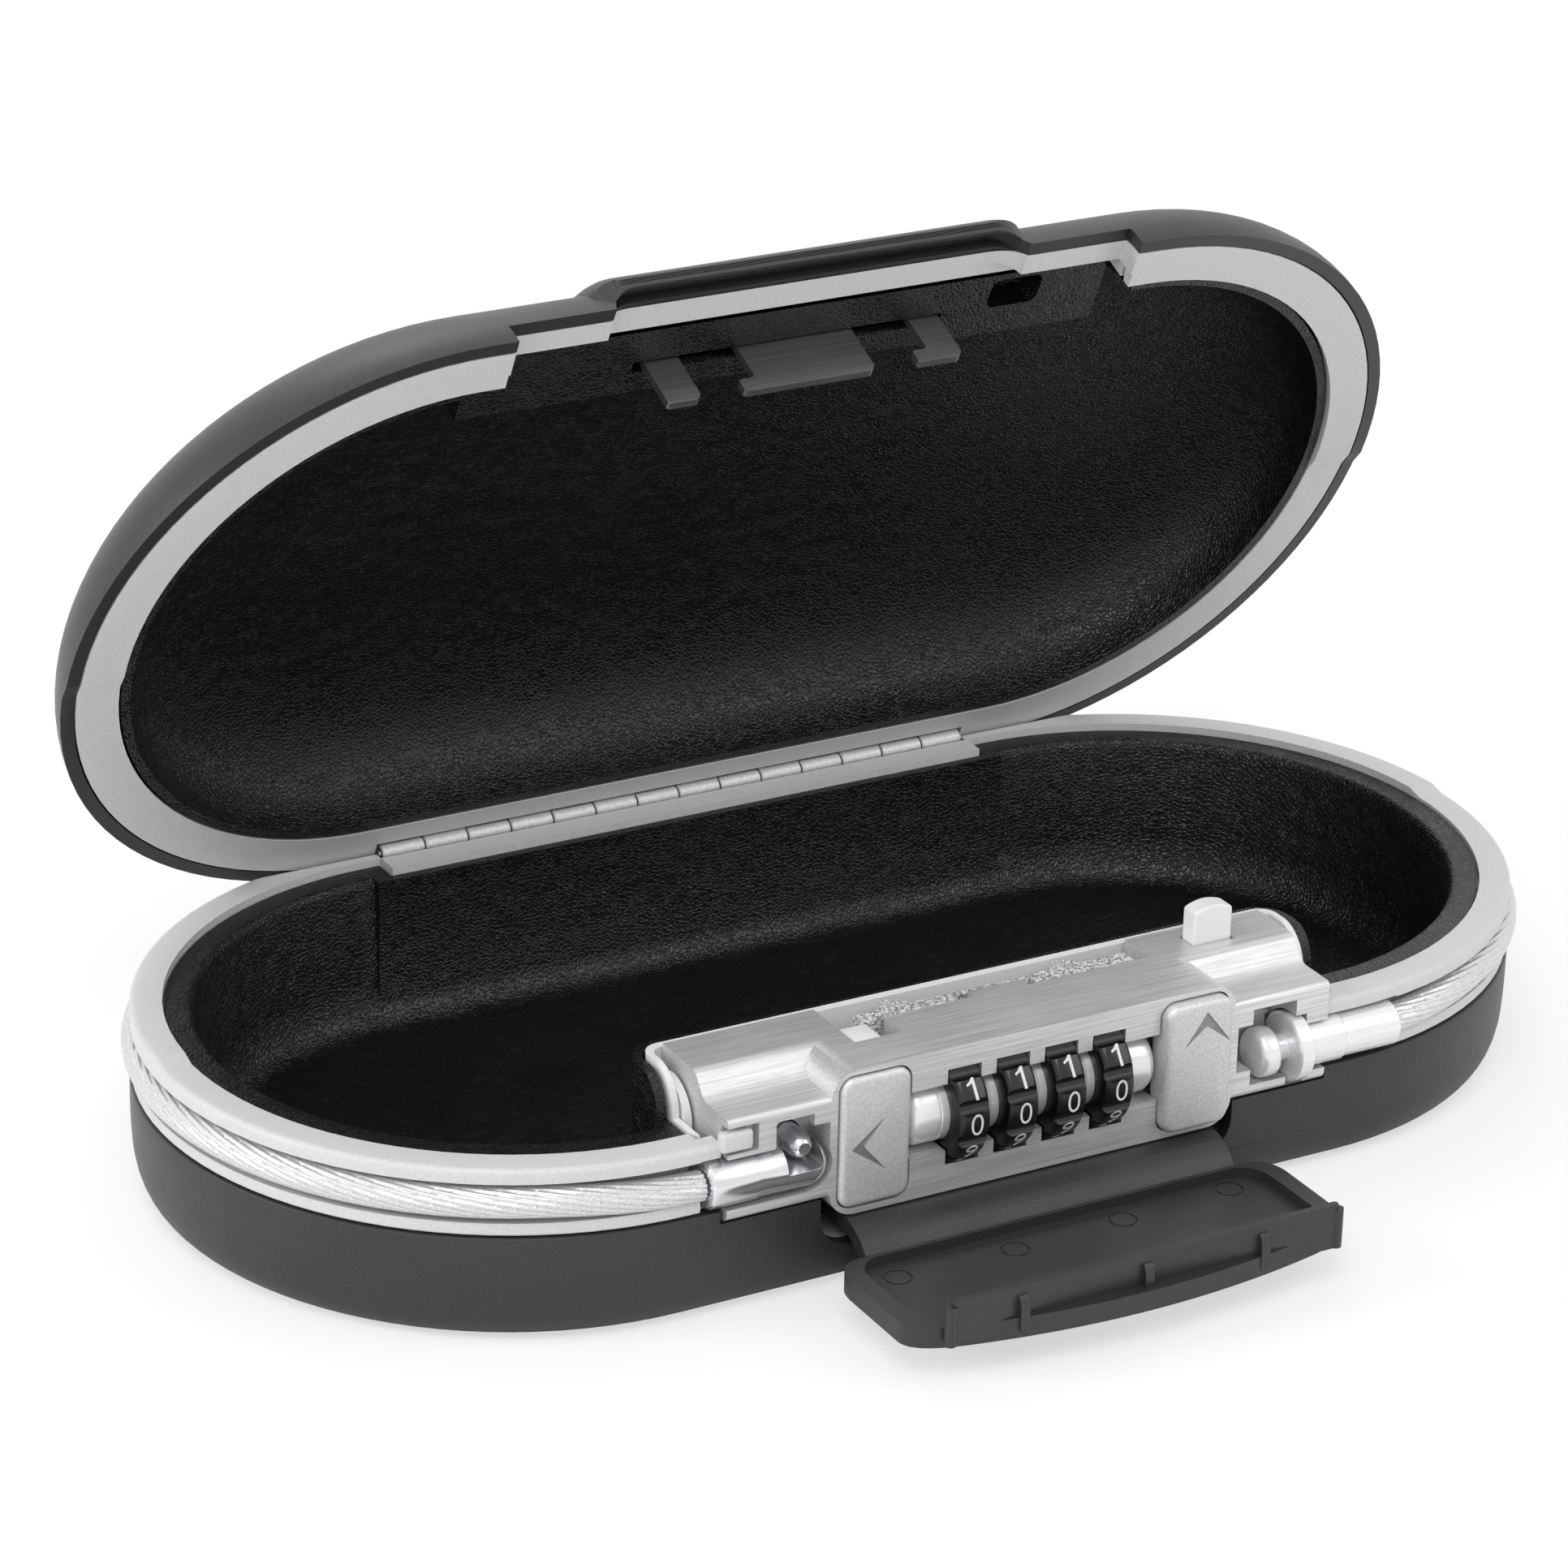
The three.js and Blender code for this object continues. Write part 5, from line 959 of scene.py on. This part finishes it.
def makeCover():
    s = cover
    bm = prism(coverOutline(0), "z", s["bottom"], s["top"])
    edge = [(x, y + 2.2 if y > -75 else y) for x, y in coverOutline(s["rim"])]
    pocket = prism(edge, "z", s["bottom"] + s["skin"], s["top"] + 1)
    bm = combine(bm, [combine(pocket, [boxOf(-50, 50, -92.9, -60, 0, 40)], "INTERSECT")])
    left, right = s["ribX"]
    rib = roundedPanel(left, right, -94.1, -92.9, 0.5, "z", 7, 14.5, 6)
    nubs = [rodOf("z", x, -93.5, 7, 13.6, 1.0, sides=20) for x in s["ribX"]]
    side = [(-93.5, 7.4), (-93.5, 13.1), (-94.6, 12.9, 0.5), (-95.2, 11.4, 0.6), (-95.2, 7.4)]
    gussets = [prism(side, "x", x - 0.8, x + 0.8) for x in s["gussets"]]
    bm = combine(bm, [rib, *nubs, *gussets], "UNION")
    ring = [(7.5, 2.0), (7.9, 2.0), (7.9, 2.3), (7.5, 2.3)]
    bm = combine(bm, [turned(ring, "z", x, y, 40, closed=True) for x, y in s["marks"]])
    finishPiece("dialCover", bm, "coverPlastic", "cover_body", "dial_cover", bevel=0.3)


strap = {
    "x": 33.5,
    "rows": 32,
    "top": [
        (-52.2, 12.9), (-56.5, 12.9), (-60.8, 12.9), (-62.3, 12.65), (-63.6, 12.2), (-64.8, 11.6),
        (-65.8, 10.9), (-66.8, 9.9), (-67.4, 9.2),
    ],
    "under": [
        (-52.2, 9.3), (-54.7, 10.6), (-60.8, 10.5), (-62.3, 10.1), (-63.5, 9.4), (-64.6, 8.7), (-65.6, 7.9),
        (-66.6, 7.2), (-67.4, 6.6),
    ],
}


def strapLine(points, t):
    spot = t * (len(points) - 1)
    i = min(int(spot), len(points) - 2)
    return [points[i][k] + (points[i + 1][k] - points[i][k]) * (spot - i) for k in (0, 1)]


def makeStrap():
    rows = strap["rows"]
    profile = [strapLine(strap["top"], i / rows) for i in range(rows + 1)]
    profile += [strapLine(strap["under"], 1 - i / rows) for i in range(rows + 1)]
    bm = prism(profile, "x", -strap["x"], strap["x"])
    piece = finishPiece("coverStrap", bm, "strapRubber", None, "cover_strap")
    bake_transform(piece)


makeCover()
makeStrap()
print("dial cover done")

# Lid shell with the hood over the lock
lidShell = {"rim": 30.0, "rise": 27.5, "wallRise": 25.2, "power": 2.2, "overhang": 0.7, "wallInset": 1.5}
hood = {
    "x": 38.9, "front": -60.5, "shoulder": 5.0, "low": 34.0, "bead": 40.1,
    "crown": [
        (-60.5, 40.1), (-60.35, 40.5), (-59.9, 41.1), (-59.1, 42.0), (-58.1, 43.0), (-56.6, 44.3),
        (-55, 45.4), (-53.3, 46.6), (-51.5, 47.6), (-49.8, 48.5), (-48, 49.2), (-45.8, 49.95),
        (-43.5, 50.5), (-43.5, 46.1),
    ],
    "plan": [(36.9, -42.5), (38.9, -55.5, 4), (38.5, -58.5, 2), (36.7, -60.0, 1.5), (33.9, -60.5, 1.5)],
    "lines": (0.35, 0.75, 1.15),
}


def belowLid(gap, bottom=-20.0):  # everything under the lid's rim, which steps up behind the middle
    top = safe["parting"] + gap
    high = top + safe["rearRise"]
    ramp = [(safe["rampLength"], high), (0, top)]
    front = [(-beyond, top), (-beyond, bottom)]
    return prism(front + [(beyond, bottom), (beyond, high)] + ramp, "x", -240, 240)


def lidArc(inset, rise, steps=44):
    return superArc(inset, lidShell["rim"], -rise, 60 - inset, lidShell["power"], 60, steps)


def lidCavity():
    inset, low = lidShell["wallInset"], lidShell["rim"] - 1
    return aroundSafe([(60, low), (inset, low)] + lidArc(inset, lidShell["wallRise"]))


def lockSteps():  # the rim's two steps over the lock
    middle = roundedPanel(-37.5, 37.5, 0, 38.1, 5, "y", -beyond, -29.9, 10)
    return [boxOf(-56, 56, -beyond, -29.9, 0, 34.3), middle]


def archPoints(grow):
    shoulder = hood["shoulder"]
    reach = shoulder + grow
    turns = [90 - 7.5 * k for k in range(13)]
    right = arc(hood["x"] - shoulder, hood["bead"] - shoulder, reach, reach, turns)
    return right + mirrored(right)


def makeHood():
    s = hood
    shoulder, low = s["shoulder"], s["low"]
    bm = bmesh.new()
    for x, drop in arc(s["x"] - shoulder, shoulder, shoulder, -shoulder, [11.25 * k for k in range(9)]):
        for y, z in [(-50.5, low + drop), (s["front"], low + drop)] + s["crown"]:
            bm.verts.new((-x, y, z - drop))
            bm.verts.new((x, y, z - drop))
    bmesh.ops.convex_hull(bm, input=bm.verts[:])
    tidy(bm)
    return combine(bm, [prism(s["plan"] + mirrored(s["plan"]), "z", 30, 60, 6)], "INTERSECT")


def hoodLines():  # fine lines along the bead
    cuts = []
    for depth in hood["lines"]:
        outer, inner = archPoints(0.15 - depth), archPoints(-0.05 - depth)
        left, right = outer[-1][0], inner[-1][0]
        ring = [(-left, 30)] + outer + [(left, 30), (right, 30)] + inner[::-1] + [(-right, 30)]
        cuts.append(prism(ring, "y", -61, -60.32))
    return cuts


def makeLidShell():
    s = lidShell
    bm = aroundSafe(lidArc(s["wallInset"], s["wallRise"])[::-1] + lidArc(-s["overhang"], s["rise"], 48))
    front = combine(makeHood(), [lidCavity()])
    bm = combine(bm, [front, *twoRods(*strikeScrews, 44.0, 48, 2.6)], "UNION")
    holes = twoRods(*strikeScrews, 42.3, 46.4, 1.4)
    hollow = roundedPanel(-36.6, 36.6, 30, 40.0, 4.6, "y", -59.9, -57.0)
    bm = combine(bm, [belowLid(0.3), *lockSteps(), *holes, hollow])
    bm = combine(bm, hoodLines())
    finishPiece("lidShell", bm, "shellPlastic", "lid", "lid_shell", bevel=0.3)


makeLidShell()
print("lid shell done")

# Light ring inside the lid's rim
lidRing = {"inner": 9.0, "face": 30.0, "high": 5.2, "step": 6.4, "tall": 10.2}


def domeInset(height):  # just inside the lid's wall
    s = lidShell
    across = (1 - (height / s["wallRise"]) ** s["power"]) ** (1 / s["power"])
    return s["wallInset"] + (60 - s["wallInset"]) * (1 - across) + 0.3


def makeLidRing():
    s = lidRing
    face, inner, high = s["face"], s["inner"], s["face"] + s["high"]
    outside = [(domeInset(h), face + h) for h in (s["high"], 4, 3, 1.8, 0.8, 0)]
    bm = aroundSafe(outside + [
        (inner - 0.3, face), (inner, face + 0.3), (inner, face + 1.9), (s["step"], face + 2.6),
        (s["step"], high),
    ], closed=True)
    outside = [(domeInset(h), face + h) for h in (s["tall"], 8.5, 7, 5.2, 4, 3)]
    tall = aroundSafe(outside + [(inner, face + 3), (inner, face + s["tall"])], closed=True)
    bm = combine(bm, [combine(tall, [boxOf(-57.4, 57.4, -beyond, 0, 0, 60)], "INTERSECT")], "UNION")
    x, y = hingeBay["x"], hingeBay["back"]
    bm = combine(bm, [
        belowLid(0.3), *lockSteps(), boxOf(-56.3, 56.3, -53.6, -29.9, 0, 38.1),
        boxOf(-x, x, 50.2, y, 32.4, 33.8),
        rodOf("x", *hingeLine, -x, x, hingeBay["knuckles"]),
        boxOf(-x, x, hingeBay["front"], y, 28.7, 33.8), *twoRods(rivetX, 52.8, 32.7, 35.3, 1.3),
    ])
    finishPiece("lidRing", bm, "ringPlastic", "lid", "lid_ring", bevel=0.25)


makeLidRing()
print("lid ring done")

# Black liner inside the lid, with a block over the lock
lidLiner = {
    "rim": 31.2, "outer": 9.4, "thick": 1.6, "rise": 22.0, "power": 2.6, "blockBack": -36.2, "ceiling": 38.9,
}


def makeLidLiner():
    s = lidLiner
    thick, rim, back, ceiling = s["thick"], s["rim"], s["blockBack"], s["ceiling"]
    inset = s["outer"] + thick
    outer = superArc(s["outer"], rim, -s["rise"], 60 - s["outer"], s["power"], 60, 40)
    inner = superArc(inset, rim, -(s["rise"] - thick), 60 - inset, s["power"], 60, 38)
    solid = [(60, rim)] + outer
    block = combine(boxOf(-58, 58, -beyond, back, ceiling, 68), [aroundSafe(solid)], "INTERSECT")
    bm = combine(aroundSafe(inner[::-1] + outer), [block], "UNION")
    bm = combine(bm, [
        boxOf(-58, 58, -beyond, back, 0, ceiling),
        boxOf(-56.4, 56.4, -beyond, back - thick, ceiling + thick, 68),
        boxOf(-28.2, 28.2, -42.7, -40.5, 29.5, 50.3, 0.5),  # the tabs' slot
    ])
    dimple = combine(boxOf(35.4, 46.9, -49.1, -41.1, 39.2, 45.5, 1.6), [aroundSafe(solid)], "INTERSECT")
    bm = combine(bm, [dimple], "UNION")
    bm = combine(bm, [boxOf(36.4, 45.9, -48.1, -42.1, 28.2, 44.5, 1.5)])
    finishPiece("lidLiner", bm, "blackLeather", "lid", "lid_liner", crisp=50, bevel=0.4)


makeLidLiner()
print("lid liner done")

# Strike plate with its three tabs
strike = {
    "low": 42.3, "high": 43.7, "x": 30.0, "front": -48.4, "back": -40.9, "thick": 1.4, "tip": 29.5,
    "tabs": [(-26.2, -20.1, -26.2), (-12.5, 11.4, -9.5), (19.2, 27.5, 22)],  # foot's left, right, neck's left
}


def makeStrike():
    s = strike
    parts = []
    for left, right, neck in s["tabs"]:
        corner = [(neck, 32.2, 0.7), (left, 32.2, 0.5)] if neck > left else []
        parts.append(prism([
            (left, s["tip"], 0.6), (right - 0.9, s["tip"], 0.3), (right, 30.4, 0.3), (right, 42.8),
            (neck, 42.8),
        ] + corner, "y", s["back"] - s["thick"], s["back"]))
    bm = combine(boxOf(-s["x"], s["x"], s["front"], s["back"], s["low"], s["high"]), parts, "UNION")
    bm = combine(bm, twoRods(*strikeScrews, 41.3, 46.3, 1.4))
    finishPiece("strikePlate", bm, "tabSteel", "lid", "strike_plate", bevel=0.2)


makeStrike()
print("strike plate done")

# Hinge: fourteen knuckles, seven to each leaf
hinge = {
    "half": 56.0, "knuckles": 14, "radius": 1.5, "bore": 1.0, "gap": 0.3,
    "near": 2.0, "far": 2.8, "edge": 0.2,
}


def makeLeaf(name, first, side, rides, node):
    s = hinge
    (y, z), radius, edge = hingeLine, s["radius"], s["edge"]
    low, high = sorted((z + side * s["near"], z + side * s["far"]))
    pitch = 2 * s["half"] / s["knuckles"]
    risers, knuckles = [], []
    for i in range(first, s["knuckles"], 2):
        x0 = -s["half"] + i * pitch + s["gap"] / 2
        x1 = x0 + pitch - s["gap"]
        profile = [(x0, s["bore"]), (x0, radius - edge), (x0 + edge, radius)]
        profile += [(x1 - edge, radius), (x1, radius - edge), (x1, s["bore"])]
        knuckles.append(turned(profile, "x", y, z, 32, closed=True))
        risers.append(boxOf(x0, x1, y - 1.4, y - 0.7, *((z + 0.4, high) if side > 0 else (low, z - 0.4))))
    bm = boxOf(-s["half"], s["half"], y - 4.9, y - 0.7, low, high)
    bm = combine(combine(bm, risers, "UNION"), knuckles, "UNION")
    holes = twoRods(rivetX, y - 3.9, low - 1, high + 1, 1.2)
    bm = combine(bm, holes + [rodOf("x", y, z, -57, 57, s["bore"])])
    finishPiece(name, bm, "castMetal", rides, node, bevel=0.1)


makeLeaf("hingeLeafBase", 0, -1, "base", "hinge_leaf_base")
makeLeaf("hingeLeafLid", 1, 1, "lid", "hinge_leaf_lid")
print("hinge done")

# Hidden CAD pieces keep their shape and take a proper finish
paired = ("hinge_rivet_base", "hinge_rivet_lid", "lock_screw", "tray_screw", "strike_screw")
names = ["hinge_pin", "detent_spring"] + [f"{name}_{side}" for name in paired for side in ("left", "right")]
for name in names:
    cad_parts[name].material_slots[0].material = looks["plainSteel"]

# Studio: white floor, soft lamps, white world for the camera
studio = {"world": 0.62, "floor": 0.94, "glow": 0.62, "floorHalf": 6}
white = (1, 1, 1, 1)
lamps = {  # place, what it points at, size and power
    "keyLamp": ((-0.7, -0.9, 1.5), (0, 0, 0.03), 1.1, 14),
    "fillLamp": ((1.2, -0.9, 1.1), (0, 0, 0.03), 1.0, 5),
    "backLamp": ((0.2, 1.2, 1.4), (0, 0, 0.05), 1.0, 6),
    "sideLamp": ((-1.5, 0.35, 0.75), (-0.08, 0.02, 0.09), 0.5, 9),
}


def softLamp(name, spot, aim, size, power):
    lamp = bpy.data.lights.new(name, "AREA")
    lamp.shape = "DISK"
    lamp.size = size
    lamp.energy = power
    aimed(name, lamp, spot, Vector(spot) - Vector(aim))


def mixed(tree, amount, first, second):
    parts = {0: amount, 1: first.outputs[0], 2: second.outputs[0]}
    return addNode(tree, "ShaderNodeMixShader", None, parts).outputs[0]


def setWorld():  # lights softly, but looks white itself and in reflections
    world = bpy.data.worlds.new("studio")
    scene.world = world
    world.use_nodes = True
    tree = world.node_tree
    tree.nodes.clear()
    path = tree.nodes.new("ShaderNodeLightPath").outputs
    plain = addNode(tree, "ShaderNodeBackground", None, {"Color": white, "Strength": studio["world"]})
    seen = addNode(tree, "ShaderNodeBackground", None, {"Color": white, "Strength": 1.0})
    either = maths(tree, "MAXIMUM", path["Is Camera Ray"], path["Is Transmission Ray"])
    either = maths(tree, "MAXIMUM", either, path["Is Glossy Ray"])
    addNode(tree, "ShaderNodeOutputWorld", None, {"Surface": mixed(tree, either, plain, seen)})


def layFloor():
    look = bpy.data.materials.new("floorWhite")
    look.use_nodes = True
    tree = look.node_tree
    tree.nodes.clear()
    path = tree.nodes.new("ShaderNodeLightPath").outputs
    matt = addNode(tree, "ShaderNodeBsdfDiffuse", None, {"Color": (studio["floor"],) * 3 + (1,)})
    glow = addNode(tree, "ShaderNodeEmission", None, {"Color": white, "Strength": 1.0})
    part = maths(tree, "MULTIPLY", path["Is Camera Ray"], studio["glow"])
    addNode(tree, "ShaderNodeOutputMaterial", None, {"Surface": mixed(tree, part, matt, glow)})
    bm = bmesh.new()
    bmesh.ops.create_grid(bm, x_segments=1, y_segments=1, size=studio["floorHalf"])
    floor = place("floor", meshFrom(bm, "floor"))
    floor.data.materials.append(look)


setWorld()
layFloor()
for name, facts in lamps.items():
    softLamp(name, *facts)
scene.view_settings.view_transform = "Standard"
print("studio set")
